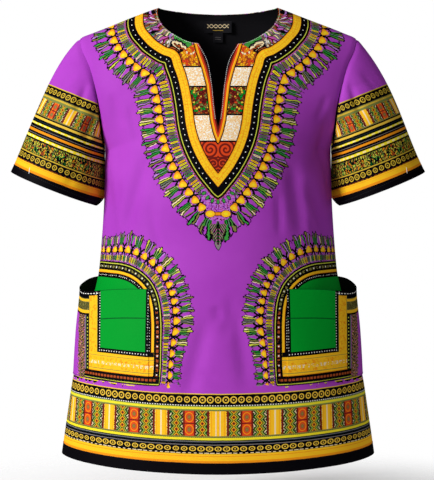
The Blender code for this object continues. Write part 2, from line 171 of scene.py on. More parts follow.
def outward(normals: np.ndarray, points: np.ndarray, centre: np.ndarray) -> np.ndarray:
    """Turn normals round as a whole if they point at the centre."""
    return -normals if np.sum(normals * (points - centre)) < 0.0 else normals


def lengths_along(points: np.ndarray, axis: int) -> np.ndarray:
    """Return the running length of a grid's lines along an axis, from 0."""
    steps = np.linalg.norm(np.diff(points, axis=axis), axis=-1)
    start = np.zeros_like(np.take(steps, [0], axis=axis))
    return np.concatenate([start, np.cumsum(steps, axis=axis)], axis=axis)


def curve_distance(spots: np.ndarray, curve: Sequence[Sequence[float]]) -> Tuple[np.ndarray, np.ndarray]:
    """Return how far spots lie from a broken line, and how far along it.

    Each spot is dropped at a right angle on every stretch of the line, held
    within the stretch, and the nearest foot counts.

    Args:
        spots: Points in a plane, as an array of any shape by 2.
        curve: The line's corners.

    Returns:
        The distances and the lengths along the line.
    """
    line = np.asarray(curve, dtype=float)
    flat = spots.reshape(-1, 1, 2)
    start, run = line[:-1], np.diff(line, axis=0)
    length = np.linalg.norm(run, axis=1)
    passed = np.clip(np.sum((flat - start) * run, axis=-1) / length ** 2, 0.0, 1.0)
    foot = start + passed[..., None] * run
    away = np.linalg.norm(flat - foot, axis=-1)
    best = np.argmin(away, axis=1)
    rows = np.arange(len(best))
    before = np.concatenate([[0.0], np.cumsum(length)])[best]
    along = before + passed[rows, best] * length[best]
    shape = spots.shape[:-1]
    return away[rows, best].reshape(shape), along.reshape(shape)


def inside_outline(spots: np.ndarray, outline: Sequence[Sequence[float]]) -> np.ndarray:
    """Return which spots lie inside a closed outline, by counting crossings."""
    corners = np.asarray(outline, dtype=float)
    x, y = spots[..., 0:1], spots[..., 1:2]
    x0, y0 = corners[:, 0], corners[:, 1]
    x1, y1 = np.roll(x0, -1), np.roll(y0, -1)
    rise = np.where(np.abs(y1 - y0) < 1e-9, 1e-9, y1 - y0)
    crosses = ((y0 > y) != (y1 > y)) & (x < x0 + (y - y0) * (x1 - x0) / rise)
    return np.sum(crosses, axis=-1) % 2 == 1


@dataclass
class Panel:
    """A grid of points on the outside of the cloth, with what the print needs.

    Attributes:
        points: The points in millimetres, rows by columns by 3.
        normals: The outward normals.
        fields: Named numbers for each point, in millimetres.
    """

    points: np.ndarray
    normals: np.ndarray
    fields: Dict[str, np.ndarray] = field(default_factory=dict)

    def cloth_area(self) -> float:
        """Return the area of the grid in square metres."""
        across = np.diff(self.points, axis=1)[:-1]
        down = np.diff(self.points, axis=0)[:, :-1]
        return float(np.sum(np.linalg.norm(np.cross(across, down), axis=-1))) * MM * MM

    def shell(self, name: str, ring: bool, printed: bpy.types.Material,
              lining: bpy.types.Material) -> bpy.types.Object:
        """Build the grid's cloth, closed to a ring or not."""
        rows, columns = self.points.shape[:2]
        return cloth_shell(name, self.points.reshape(-1, 3), self.normals.reshape(-1, 3),
                           quads(rows, columns, ring), self.fields, printed, lining)


@dataclass(frozen=True, eq=False)
class ShirtForm:
    """The shirt's worn form, in the same tables as its solids.

    Attributes:
        fine: How many fine rows or columns each coarse one is cut into.
        seam_gap: The space at a seam.
        yoke_rows: The coarse rows above the armpit.
        across_front, across_side: The coarse columns before and behind the pocket's edge.
        front_neck_rows, back_neck_rows: The rows that end on the neck's curve.
        section_rows: The coarse rows between each two body sections.
        pocket_top, pocket_bottom: The sections that a pocket lies between.
        pocket_front_edge: How far from the middle a pocket starts.
        pocket_stand_off: How far its mouth stands off at the side.
        pocket_stand_from, pocket_stand_to: The depths between which that fades.
        pocket_back_columns: The coarse columns of the back that it covers.
        pocket_back_rise, pocket_front_dip: How its mouth rises behind and dips in front.
        sleeve_rows: The coarse rows of a sleeve.
        cuff_outer, cuff_inner: The x and z of the mouth's two ends.
        cuff_half_depth: Half the mouth's depth.
        cuff_front_drop: How far its front and back hang down.
        cuff_corner: How far its end under the arm is moved.
        corner_from, corner_span: The armhole share where that starts, and how much it takes.
    """

    fine: int = 4
    seam_gap: float = 0.3
    yoke_rows: int = 17
    across_front: int = 5
    across_side: int = 8
    front_neck_rows: int = 7
    back_neck_rows: int = 4
    section_rows: Tuple[int, ...] = (4, 4, 2, 4, 4, 3, 3)
    pocket_top: int = 3
    pocket_bottom: int = 5
    pocket_front_edge: float = 110.0
    pocket_stand_off: float = 26.0
    pocket_stand_from: float = 62.0
    pocket_stand_to: float = 140.0
    pocket_back_columns: int = 6
    pocket_back_rise: float = 16.0
    pocket_front_dip: float = 6.0
    sleeve_rows: int = 11
    cuff_outer: Tuple[float, float] = (349.0, -275.5)
    cuff_inner: Tuple[float, float] = (201.5, -333.5)
    cuff_half_depth: float = 70.0
    cuff_front_drop: float = 5.0
    cuff_corner: Tuple[float, float, float] = (-9.2, 16.0, 15.0)
    corner_from: float = 0.86
    corner_span: float = 0.14

    front_neck = (
        # x, y, z
        (100, 0, 0),
        (101.5, -13, -5.5),
        (98, -32, -24),
        (86, -50, -43),
        (67, -65, -57.5),
        (45, -77, -69.5),
        (31, -82.5, -73),
    )
    front_slit = (
        # x, y, z
        (31, -82.5, -73),
        (17.5, -92, -98),
        (9, -104, -140),
        (5, -112, -180),
        (0, -119, -215),
    )
    back_neck = (
        # x, y, z
        (100, 0, 0),
        (97, 11, 0.3),
        (82, 28, 0),
        (50, 44, -1.5),
        (0, 52, -2),
    )
    back_centre = (
        # x, y, z
        (0, 52, -2),
        (0, 66, -30),
        (0, 85, -85),
        (0, 100, -145),
        (0, 109, -190),
        (0, 113, -232),
    )
    front_armhole = (
        # x, y, z
        (233.5, 4, -50),
        (232, -14, -55.5),
        (227, -31, -74),
        (213, -51, -105),
        (202, -61, -143),
        (196, -59, -172),
        (192, -41, -213),
        (190, -20, -236),
        (190, 0, -245),
    )
    back_armhole = (
        # x, y, z
        (233.5, 4, -50),
        (232.5, 22, -56.5),
        (229, 40, -75),
        (217, 59, -105),
        (207, 67, -143),
        (200, 62, -178),
        (193, 41, -217),
        (190.5, 20, -237),
        (190, 0, -245),
    )
    front_yoke = (
        # armhole_share, turn_degrees, bulge
        (0.00, 25, 0),
        (0.20, 34, 7),
        (0.40, 47, 10),
        (0.60, 60, 8),
        (0.80, 75, 4),
        (1.00, 90, 0),
    )
    back_yoke = (
        # armhole_share, turn_degrees, bulge
        (0.00, 25, 0),
        (0.12, 30, 6),
        (0.25, 38, 11),
        (0.50, 55, 9),
        (0.80, 76, 3),
        (1.00, 90, 0),
    )
    body_sections = (
        # z_front, z_side, z_back, half_width, front_depth, back_depth
        (-215, -245, -232, 190, 119, 113),
        (-322, -337, -330, 192.5, 126, 116),
        (-420, -429, -425, 199, 131, 119),
        (-470, -470, -468, 206, 135, 124),
        (-548, -544, -545, 226.5, 140, 133),
        (-622, -616, -619, 243, 146, 141),
        (-690, -680, -686, 253, 151, 147),
        (-760, -748, -756, 263, 155, 151),
    )
    sleeve_directions = (
        # armhole_share, leave_x, leave_y, leave_z, meet_x, meet_y, meet_z
        (0.00, 0.70, 0.00, -0.71, 0.46, 0.00, -0.89),
        (0.25, 0.65, -0.22, -0.73, 0.41, -0.02, -0.91),
        (0.50, 0.50, -0.26, -0.82, 0.32, -0.04, -0.95),
        (0.75, 0.26, -0.16, -0.95, 0.26, -0.03, -0.96),
        (1.00, 0.03, 0.00, -1.00, 0.05, 0.20, -1.00),
    )
    body_folds = (
        # x0, z0, x1, z1, depth, half_width, on_front
        (-176, -150, -150, -300, 3, 11, True),
        (-112, -245, -160, -400, 5, 11, True),
        (-190, -265, -165, -450, 5, 12, True),
        (116, -255, 138, -400, 5.5, 12, True),
        (196, -175, 152, -290, 6, 13, True),
        (146, -290, 184, -405, 5, 10, True),
        (25, -480, 50, -640, 5, 14, True),
        (-14, -505, -54, -660, 4.5, 14, True),
        (-4, -495, 3, -523, 3, 7, True),
        (205, -180, 140, -330, 6, 17, False),
        (198, -270, 160, -440, 5, 15, False),
        (-200, -190, -130, -320, 5, 16, False),
        (-194, -280, -158, -430, 4, 15, False),
        (60, -430, 90, -660, 5, 24, False),
        (-70, -470, -50, -650, 4, 22, False),
        (5, -60, -8, -190, 3, 22, False),
    )
    sleeve_folds = (
        # share0, down0, share1, down1, depth, half_share, on_front
        (0.90, 0.03, 0.80, 0.45, 4, 0.050, True),
        (0.66, 0.02, 0.60, 0.42, 6.5, 0.045, True),
        (0.42, 0.03, 0.47, 0.40, 5, 0.036, True),
        (0.28, 0.08, 0.20, 0.45, 3.5, 0.040, True),
        (0.93, 0.05, 0.60, 0.55, 5, 0.060, False),
        (0.75, 0.05, 0.40, 0.45, 3.5, 0.055, False),
    )
    fine_sleeve_creases = (
        # share0, down0, share1, down1, depth, half_share, on_front
        (0.70, 0.04, 0.50, 0.36, 2.2, 0.022, True),
        (0.58, 0.04, 0.36, 0.30, 2.8, 0.020, True),
        (0.86, 0.10, 0.70, 0.60, 2.4, 0.024, True),
        (0.46, 0.04, 0.28, 0.26, 2.4, 0.018, True),
        (0.22, 0.12, 0.12, 0.55, 1.8, 0.026, True),
        (0.66, 0.50, 0.60, 0.95, 1.5, 0.030, True),
        (0.68, 0.05, 0.46, 0.40, 2, 0.022, False),
        (0.84, 0.10, 0.66, 0.60, 2.2, 0.024, False),
        (0.50, 0.05, 0.30, 0.34, 1.6, 0.020, False),
    )
    fine_creases = (
        # x0, z0, x1, z1, depth, half_width, on_front
        (168, -215, 190, -330, 2.8, 7, True),
        (-168, -230, -162, -345, 2.2, 6, True),
        (-112, -330, -88, -440, 2.2, 7, True),
        (96, -310, 100, -392, 2.6, 6, True),
        (150, -345, 172, -440, 2.6, 6, True),
        (-146, -170, -128, -245, 2, 6, True),
        (-178, -150, -150, -212, 1.8, 6, True),
        (182, -150, 158, -205, 1.5, 6, True),
        (24, -470, 8, -560, 1.6, 8, True),
        (-30, -600, -2, -612, 1.5, 4, True),
        (60, -520, 66, -640, 1.6, 9, True),
        (-150, -200, -110, -300, 1.8, 8, False),
        (160, -210, 120, -310, 1.9, 8, False),
        (172, -300, 182, -420, 2, 8, False),
        (-120, -420, -140, -600, 1.8, 9, False),
        (20, -520, 36, -690, 1.7, 9, False),
    )

    def column_shares(self, edge_share: float) -> np.ndarray:
        """Return the turn at each column, with one column on the pocket's edge."""
        inner = np.linspace(0.0, 1.0, self.across_front * self.fine + 1)[:-1]
        outer = np.linspace(0.0, 1.0, self.across_side * self.fine + 1)
        return np.concatenate([edge_share * inner, edge_share + (1.0 - edge_share) * outer])

    def edge_turn(self, half_width: np.ndarray) -> np.ndarray:
        """Return the turn at which the body reaches the pocket's front edge."""
        return np.arcsin(self.pocket_front_edge / half_width)

    def yoke(self, side: Side) -> np.ndarray:
        """Return the left half of a panel's yoke.

        Each row is part of an ellipse in plan, from the opening's edge to the
        armhole, that turns through the angle in the table and is blown out in
        its middle by half a sine wave.
        """
        front = side is Side.FRONT
        neck = self.front_neck if front else self.back_neck
        below = self.front_slit if front else self.back_centre
        armhole = self.front_armhole if front else self.back_armhole
        table = np.array(self.front_yoke if front else self.back_yoke)
        neck_rows = (self.front_neck_rows if front else self.back_neck_rows) * self.fine
        rows = (self.yoke_rows - 1) * self.fine + 1
        shares = np.linspace(0.0, 1.0, rows)
        columns = read_table(table[:, 0], table[:, 1:], shares)
        inner = np.concatenate([
            along_curve(neck, np.linspace(0.0, 1.0, neck_rows + 1)[:-1]),
            along_curve(below, np.linspace(0.0, 1.0, rows - neck_rows))])
        outer = along_curve(armhole, shares)
        turn = np.radians(columns[:, 0])[:, None]
        start = np.arcsin(inner[:, :1] / outer[:, :1] * np.sin(turn))
        edge = self.edge_turn(self.body_sections[0][3]) / (math.pi / 2)
        angle = start + (turn - start) * self.column_shares(edge)[None, :]
        x = outer[:, :1] * np.sin(angle) / np.sin(turn)
        shape = (np.cos(angle) - np.cos(turn)) / (np.cos(start) - np.cos(turn))
        y = outer[:, 1:2] + (inner[:, 1:2] - outer[:, 1:2]) * shape
        passed = np.clip((x - inner[:, :1]) / (outer[:, :1] - inner[:, :1]), 0.0, 1.0)
        y = y + side.value * columns[:, 1:2] * np.sin(math.pi * passed)
        bend = 1.04 + 0.56 * ease(shares)[:, None]
        z = inner[:, 2:3] + (outer[:, 2:3] - inner[:, 2:3]) * passed ** bend
        return np.stack([x, y, z], axis=-1)

    def skirt(self, side: Side) -> np.ndarray:
        """Return the left half of the body below the armpits, as half ellipses."""
        at = [0.0]
        for index, count in enumerate(self.section_rows):
            steps = count * self.fine
            at.extend(index + (step + 1) / steps for step in range(steps))
        table = read_table(np.arange(len(self.body_sections)), np.array(self.body_sections), at)
        front = side is Side.FRONT
        middle, level = table[:, 0 if front else 2], table[:, 1]
        width, depth = table[:, 3], table[:, 4 if front else 5]
        angles = np.array([self.column_shares(e) for e in self.edge_turn(width) / (math.pi / 2)])
        angles = angles * math.pi / 2
        x = width[:, None] * np.sin(angles)
        y = side.value * depth[:, None] * np.cos(angles)
        z = middle[:, None] + (level - middle)[:, None] * np.sin(angles) ** 2
        return np.stack([x, y, z], axis=-1)

    def half(self, side: Side) -> np.ndarray:
        """Return the left half of the front or the back, without folds."""
        return np.concatenate([self.yoke(side), self.skirt(side)[1:]], axis=0)

    def fold_depth(self, points: np.ndarray, side: Side) -> np.ndarray:
        """Return how deep the folds and creases are at each point of a panel.

        Each is a bell across its line, eased in and out at its ends.
        """
        depth = np.zeros(points.shape[:-1])
        x, z = points[..., 0], points[..., 2]
        for x0, z0, x1, z1, fold, width, on_front in self.body_folds + self.fine_creases:
            if on_front != (side is Side.FRONT):
                continue
            run_x, run_z = x1 - x0, z1 - z0
            length = math.hypot(run_x, run_z)
            passed = ((x - x0) * run_x + (z - z0) * run_z) / length ** 2
            off = ((x - x0) * run_z - (z - z0) * run_x) / length
            ends = ease(passed / 0.3) * ease((1.0 - passed) / 0.3)
            depth += fold * ends * np.exp(-((off / width) ** 2))
        return depth

    @staticmethod
    def ripple(points: np.ndarray) -> np.ndarray:
        """Return a shallow unevenness: a sum of slow sine waves, in millimetres."""
        x, y, z = points[..., 0], points[..., 1], points[..., 2]
        wave = 0.5 * np.sin(x / 31.0 + z / 47.0 + 1.3) + 0.4 * np.sin(x / 19.0 - z / 83.0 + y / 37.0)
        return wave + 0.25 * np.sin(z / 23.0 + x / 61.0 + 0.7)

    @cache
    def body_panel(self, side: Side, mirror: bool) -> Panel:
        """Return one half of the front or back with folds and print fields."""
        points = self.half(side)
        normals = outward(grid_normals(points), points, np.array([0.0, 0.0, -380.0]))
        on_middle = np.abs(points[:, 0, 0]) < ON_MIDDLE
        normals[on_middle, 0, 0] = 0.0
        normals = unit(normals)
        fields = BodyPrint(self).fields(points, side)
        if mirror:
            points = points * MIRROR
            normals = normals * MIRROR
        calm = np.ones(points.shape[1])
        calm[-3 * self.fine:] = 1.0 - ease(np.linspace(0.0, 1.0, 3 * self.fine))
        depth = (self.fold_depth(points, side) + self.ripple(points)) * calm
        across = lengths_along(points, 1)
        seam = np.exp(-(((across[:, -1:] - across) / 4.0) ** 2)) * 1.5
        yoke_end = (self.yoke_rows - 1) * self.fine
        seam[yoke_end:] *= (1.0 - ease(np.arange(len(seam) - yoke_end) / 12.0))[:, None]
        depth = depth + seam
        points = points - normals * depth[..., None]
        points[on_middle, 0, 0] = 0.0
        return Panel(points, normals, fields)

    @cache
    def sleeve(self, mirror: bool) -> Panel:
        """Return a sleeve as rings from the armhole to the mouth.

        Each line down the sleeve is a cubic curve that leaves the armhole and
        meets the mouth in the directions of the table. The first ring is tucked
        in under the body's edge, as a seam allowance is. Under the arm the mouth
        rises and lies against the body. The print runs straight across: its
        distance from the mouth is the height over the mouth's plane.
        """
        shares = np.linspace(0.0, 1.0, (self.yoke_rows - 1) * self.fine + 1)
        rows = (self.sleeve_rows - 1) * self.fine + 1
        table = np.array(self.sleeve_directions)
        directions = read_table(table[:, 0], table[:, 1:], shares)
        outer = np.array([self.cuff_outer[0], 0.0, self.cuff_outer[1]])
        inner = np.array([self.cuff_inner[0], 0.0, self.cuff_inner[1]])
        centre = (outer + inner) / 2
        axis = unit(np.cross(outer - inner, (0.0, 1.0, 0.0)))
        down = np.linspace(0.0, 1.0, rows)[:, None, None]
        halves, folds, rims = [], [], []
        for sign, armhole in ((-1.0, self.front_armhole), (1.0, self.back_armhole)):
            start = along_curve(armhole, shares)
            angle = shares[:, None] * math.pi
            end = centre + (outer - centre) * np.cos(angle)
            drop = np.array([0.0, sign * self.cuff_half_depth, -self.cuff_front_drop])
            end = end + np.sin(angle) * drop
            rims.append(end @ axis)
            end = end + ease((shares[:, None] - self.corner_from) / self.corner_span) * self.cuff_corner
            flip = np.array([1.0, -sign, 1.0])
            leave, meet = unit(directions[:, :3]) * flip, unit(directions[:, 3:]) * flip
            reach = np.linalg.norm(end - start, axis=1, keepdims=True)
            start = start + leave * self.seam_gap / 2
            start[:, 0] += 0.45 * ease((shares - 0.45) / 0.3)
            half = (1 + 2 * down) * (1 - down) ** 2 * start
            half = half + down ** 2 * (3 - 2 * down) * end
            half = half + down * (1 - down) ** 2 * reach * leave
            half = half - down ** 2 * (1 - down) * reach * meet
            halves.append(half)
            folds.append(self.sleeve_fold_depth(shares, down[:, :, 0], sign < 0.0))
        points = np.concatenate([halves[0], halves[1][:, -2:0:-1]], axis=1)
        depth = np.concatenate([folds[0], folds[1][:, -2:0:-1]], axis=1)
        rim = np.concatenate([rims[0], rims[1][-2:0:-1]])
        if mirror:
            points = points * MIRROR
        wrapped = np.concatenate([points[:, -2:], points, points[:, :2]], axis=1)
        normals = grid_normals(wrapped)[:, 2:-2]
        normals = outward(normals, points, points.mean(axis=1, keepdims=True))
        calm = np.minimum(ease(down[:, :, 0] / 0.08), 1.0)
        depth = (depth + 0.7 * self.ripple(points)) * calm
        depth = depth + 1.4 * np.exp(-((lengths_along(points, 0) / 5.0) ** 2))
        points = points - normals * depth[..., None]
        points[0] += 2.5 * unit(points[0] - points[1]) - 2.0 * normals[0]
        around = lengths_along(np.concatenate([points, points[:, :1]], axis=1), 1)[:, :-1]
        height = (points * MIRROR if mirror else points) @ axis - rim
        fields = {"band_t": height, "band_a": np.repeat(around[-1:], rows, axis=0)}
        return Panel(points, normals, fields)

    def sleeve_fold_depth(self, shares: np.ndarray, down: np.ndarray, front: bool) -> np.ndarray:
        """Return how deep a sleeve's folds are: bells whose middle drifts round it."""
        depth = np.zeros((len(down), len(shares)))
        for share0, down0, share1, down1, fold, width, on_front in (
                self.sleeve_folds + self.fine_sleeve_creases):
            if on_front != front:
                continue
            passed = np.clip((down - down0) / (down1 - down0), 0.0, 1.0)
            middle = share0 + (share1 - share0) * passed
            reach = ease((down - down0) / 0.15) * ease((down1 - down) / 0.2 + 0.2)
            depth += fold * reach * np.exp(-(((shares - middle) / width) ** 2))
        return depth

    @cache
    def pocket(self, mirror: bool) -> Panel:
        """Return a pocket's outside: the body's points, moved out.

        It stands off most at the side of its mouth and comes back to the body
        at its edges and its bottom.
        """
        front = self.body_panel(Side.FRONT, mirror)
        back = self.body_panel(Side.BACK, mirror)
        base = (self.yoke_rows - 1) * self.fine
        top = base + sum(self.section_rows[:self.pocket_top]) * self.fine
        bottom = base + sum(self.section_rows[:self.pocket_bottom]) * self.fine
        rows = slice(top, bottom + 1)
        first = self.across_front * self.fine
        last = front.points.shape[1] - 1
        first_back = last - self.pocket_back_columns * self.fine

        def join(ahead: np.ndarray, behind: np.ndarray) -> np.ndarray:
            """Join the front's columns to the back's in reverse."""
            return np.concatenate([ahead[rows, first:], behind[rows, first_back:last][:, ::-1]], axis=1)

        points = join(front.points, back.points)
        normals = join(front.normals, back.normals)
        near = (self.pocket_stand_to - np.abs(points[..., 1]))
        near = ease(near / (self.pocket_stand_to - self.pocket_stand_from) - 0.35)
        down = np.linspace(0.0, 1.0, points.shape[0])[:, None]
        stand = self.pocket_stand_off * near * (1.0 - down) ** 1.1
        push = unit(normals * (1.0, 0.35, 0.0))
        level = points[..., 2].copy()
        rise = self.pocket_back_rise * ease((points[..., 1] + 15.0) / 75.0)
        rise = rise - self.pocket_front_dip * np.exp(-(((points[..., 1] + 50.0) / 30.0) ** 2))
        lift = -unit(np.gradient(points, axis=0)) * (rise * (1.0 - down) ** 1.5)[..., None]
        points = points + normals * (self.seam_gap + SHELL) + push * stand[..., None] + lift
        across = lengths_along(points, 1)
        side_column = last - first
        start = front.fields["band_a"][rows, first][:, None]
        reach = start + across
        side = reach[:, side_column:side_column + 1]
        reach = np.where(reach > side, 2.0 * side - reach, reach)
        fields = BodyPrint(self).arch_fields(reach, level, True)
        fields["pocket_a"] = reach
        fields["pocket_z"] = level
        fields["mouth_t"] = lengths_along(points, 0)
        return Panel(points, normals, fields)


@dataclass(frozen=True)
class BodyPrint:
    """Where the print lies on the body, from guide lines in millimetres.

    Attributes:
        form: The shirt's form.
        arch_foot: The height of the arch's foot.
        neck_beads, arch_beads: How far out the beads of each halo sit.
        first_bead: How far from the middle the neck's first bead sits.
        bead_pitch: The distance from bead to bead round the neck.
    """

    form: ShirtForm

    gold_edge = (
        # x, z: the outer edge of the gold band round the neck, seen from the front
        (139.2, -14), (139.2, -20), (138, -34.8), (132.8, -49.1), (122.5, -63.1),
        (113.8, -73.4), (101.7, -83.4), (89.8, -91.3), (77, -96.5),
        (72.1, -110.9), (66, -127.4), (61.6, -143.9), (58, -161.9), (54.5, -184.7),
        (52, -205.2), (47, -227.3), (38.3, -250.7), (24, -277), (0, -308),
    )
    back_gold_edge = (
        # x, z: the same edge on the back
        (139.2, -12), (139.2, -22), (135, -37), (120, -49), (92, -56),
        (50, -60), (0, -61),
    )
    slit_line = (
        # x, z: the edge of the orange line beside the slit
        (41, -66), (39, -71.5), (34, -90.4), (25.8, -114.2), (18.5, -142.4),
        (14.7, -175.2), (12, -199.7), (7.2, -220.7), (0, -239),
    )
    arch_line = (
        # x, z: the thin line over and beside the pocket, from the side seam inwards
        (198.8, -430.2), (177.4, -429.1), (154.4, -431.4), (137.3, -436.8), (118.8, -447.8),
        (107.2, -460.4), (99, -476.2), (94.1, -493.6), (91.2, -519), (90.6, -558.5),
        (91.2, -597.8), (92.7, -621.3),
    )
    arch_foot = -621.3
    neck_beads = 42.0
    arch_beads = 26.5
    first_bead = 12.5
    bead_pitch = 16.2

    @staticmethod
    def bead_line(edge: np.ndarray, out: float) -> np.ndarray:
        """Return the line that runs a distance to the left of an edge.

        Its loops are left out, and its corners are rounded by a running mean.
        """
        run = unit(np.gradient(edge, axis=0))
        line = edge + out * np.stack([-run[:, 1], run[:, 0]], axis=-1)
        line = line[curve_distance(line, edge)[0] > abs(out) - 0.4]
        line = np.pad(line, ((6, 6), (0, 0)), mode="reflect", reflect_type="odd")
        return np.stack([np.convolve(part, np.ones(13) / 13.0, "valid") for part in line.T], axis=-1)

    def neck_lengths(self, plane: np.ndarray, edge: np.ndarray, side: Side) -> np.ndarray:
        """Return the lengths along the neck's bead line, from the middle outwards.

        On the front the line is carried on round the edge's end as an arc.
        """
        beads = self.bead_line(edge, self.neck_beads)
        if side is Side.FRONT:
            run = unit(edge[-1] - edge[-2])
            turn = np.linspace(math.atan2(run[0], -run[1]), -math.pi / 2, 12)[1:]
            arc = np.stack([np.cos(turn), np.sin(turn)], axis=-1) * self.neck_beads
            beads = np.concatenate([beads, edge[-1] + arc])
        _, passed = curve_distance(plane, beads)
        return passed.max() - passed + self.bead_pitch - self.first_bead

    @cache
    def developed_arch(self) -> np.ndarray:
        """Return the arch line with lengths round the body in place of x."""
        half = self.form.half(Side.FRONT)
        reach = lengths_along(half, 1)
        base = (self.form.yoke_rows - 1) * self.form.fine
        grid = half[base:].reshape(-1, 3)
        lengths = reach[base:].reshape(-1)
        spots = []
        for x, z in self.arch_line:
            away = np.hypot(grid[:, 0] - x, grid[:, 2] - z)
            near = np.argsort(away)[:4]
            weight = 1.0 / (away[near] + 0.3) ** 2
            spots.append((float(np.sum(lengths[near] * weight) / np.sum(weight)), z))
        spots[0] = (spots[0][0] + 60.0, spots[0][1])
        return along_curve(spots, np.linspace(0.0, 1.0, 100))

    def arch_fields(self, reach: np.ndarray, height: np.ndarray,
                    upright: bool = False) -> Dict[str, np.ndarray]:
        """Return the distance out from the arch line, and the lengths along it and its beads.

        The distance grows faster, and the beads crowd, where the halo is narrower:
        towards the side seam and the foot, and over the top.

        Args:
            reach: The lengths round the body.
            height: The heights.
            upright: Whether the line runs straight up, as it does on the pocket.

        Returns:
            The fields.
        """
        slant = 0.052 * np.maximum(reach - 115.0, 0.0)
        height = height - slant * ease((-500.0 - height) / 80.0)
        line = self.developed_arch()
        if upright:
            line = np.array([[line[-1, 0], line[0, 1]], line[-1]])
        closed = np.concatenate([line, [[line[0, 0] + 200.0, self.arch_foot],
                                        [line[0, 0] + 200.0, line[0, 1]]]])
        spots = np.stack([reach, height], axis=-1)
        away, along = curve_distance(spots, line)
        inside = inside_outline(spots, closed)
        below = np.abs(height - self.arch_foot)
        away = np.where(reach > line[-1, 0], np.minimum(away, below), away)
        narrower = 1.0 + 0.24 * ease((reach - 150.0) / 70.0)
        narrower = narrower + 0.6 * np.clip((-528.0 - height) / 62.0, 0.0, 1.0)
        beads = self.bead_line(line, -self.arch_beads)
        steps = np.linalg.norm(np.diff(beads, axis=0), axis=1)
        crowd = 1.0 + 0.3 * np.exp(-(((beads[1:, 1] + 475.0) / 30.0) ** 2))
        lengths = np.concatenate([[0.0], np.cumsum(steps)])
        crowded = np.concatenate([[0.0], np.cumsum(steps * crowd)])
        passed = np.interp(curve_distance(spots, beads)[1], lengths, crowded)
        return {"arch_d": np.where(inside, -away, away * narrower), "arch_s": along,
                "arch_b": crowded[-1] - passed}

    @staticmethod
    def _round_the_tip(plane: np.ndarray, edge: np.ndarray, away: np.ndarray,
                       along: np.ndarray) -> Tuple[np.ndarray, np.ndarray]:
        """Carry the print on round the end of a line.

        The length goes on as an angle times a radius. The distance is drawn
        near the line towards that from the last stretch carried straight on,
        so that the bands end in a point.
        """
        run = unit(edge[-1] - edge[-2])
        widest = math.atan2(-run[1], -run[0])
        total = along.max()
        off = plane - edge[-1]
        angle = np.arctan2(off[..., 0], -off[..., 1])
        beyond = (along > total - 1e-6) & (off[..., 1] < 12.0)
        straight = np.abs(off[..., 0] * run[1] - off[..., 1] * run[0])
        pull = 0.6 * (1.0 - ease((away - 16.0) / 16.0)) * (away > 0.0)
        near = np.where(beyond, away + (straight - away) * pull, away)
        return near, np.where(beyond, total + (widest - np.clip(angle, 0.0, widest)) * 34.0, along)

    def fields(self, points: np.ndarray, side: Side) -> Dict[str, np.ndarray]:
        """Return every field of a half panel, before it is folded or mirrored."""
        plane = points[..., [0, 2]]
        edge = self.gold_edge if side is Side.FRONT else self.back_gold_edge
        edge = along_curve(edge, np.linspace(0.0, 1.0, 140))
        outline = np.concatenate([edge, [[0.0, 60.0], [edge[0, 0], 60.0]]])
        away, along = curve_distance(plane, edge)
        neck = np.where(inside_outline(plane, outline), -away, away)
        if side is Side.FRONT:
            neck, along = self._round_the_tip(plane, edge, neck, along)
        reach = lengths_along(points, 1)
        height = lengths_along(points, 0)
        fields = {"neck_d": neck, "neck_s": along, "band_a": reach,
                  "neck_b": self.neck_lengths(plane, edge, side),
                  "band_t": height[-1:] - height, "pocket_a": reach.copy(),
                  "pocket_z": points[..., 2].copy(), "mouth_t": np.full(reach.shape, 100.0)}
        if side is Side.FRONT:
            slit, _ = curve_distance(plane, self.slit_line)
            closed = np.concatenate([np.array(self.slit_line), [[0.0, -60.0]]])
            fields["slit_d"] = np.where(inside_outline(plane, closed), slit, -slit)
        fields.update(self.arch_fields(reach, points[..., 2]))
        return fields


def math_method(operation: str, swap: bool = False) -> Callable[..., "Socket"]:
    """Return a socket's method that adds one Math node."""
    def method(self: "Socket", other: object = None) -> "Socket":
        """Add the node on this value and, where it takes two, another."""
        return self.run(operation, other, swap)
    return method


class Socket:
    """One output socket, with arithmetic that adds Math nodes."""

    def __init__(self, paint: "Paint", output: bpy.types.NodeSocket) -> None:
        """Wrap an output socket of a material's tree."""
        self.paint = paint
        self.output = output

    def run(self, operation: str, other: object = None, swap: bool = False) -> "Socket":
        """Add one Math node on this value and another."""
        values = [self] if other is None else ([other, self] if swap else [self, other])
        return self.paint.node("ShaderNodeMath", {"operation": operation}, values)

    __add__ = __radd__ = math_method("ADD")
    __sub__, __rsub__ = math_method("SUBTRACT"), math_method("SUBTRACT", True)
    __mul__ = __rmul__ = math_method("MULTIPLY")
    __truediv__ = math_method("DIVIDE")
    __gt__, __lt__ = math_method("GREATER_THAN"), math_method("LESS_THAN")
    minimum, maximum = math_method("MINIMUM"), math_method("MAXIMUM")
    absolute, fraction, whole = math_method("ABSOLUTE"), math_method("FRACT"), math_method("FLOOR")
    sine, root, bearing = math_method("SINE"), math_method("SQRT"), math_method("ARCTAN2")

    def within(self, low: float, high: float) -> "Socket":
        """Return 1 between two values."""
        return (self > low) * (self < high)

    def saw(self, pitch: float, shift: float = 0.0) -> "Socket":
        """Return the distance from the middle of the nearest repeat."""
        return ((self / pitch + (0.5 + shift)).fraction() - 0.5) * pitch

    def step(self, pitch: float) -> "Socket":
        """Return the number of the nearest repeat."""
        return (self / pitch + 0.5).whole()


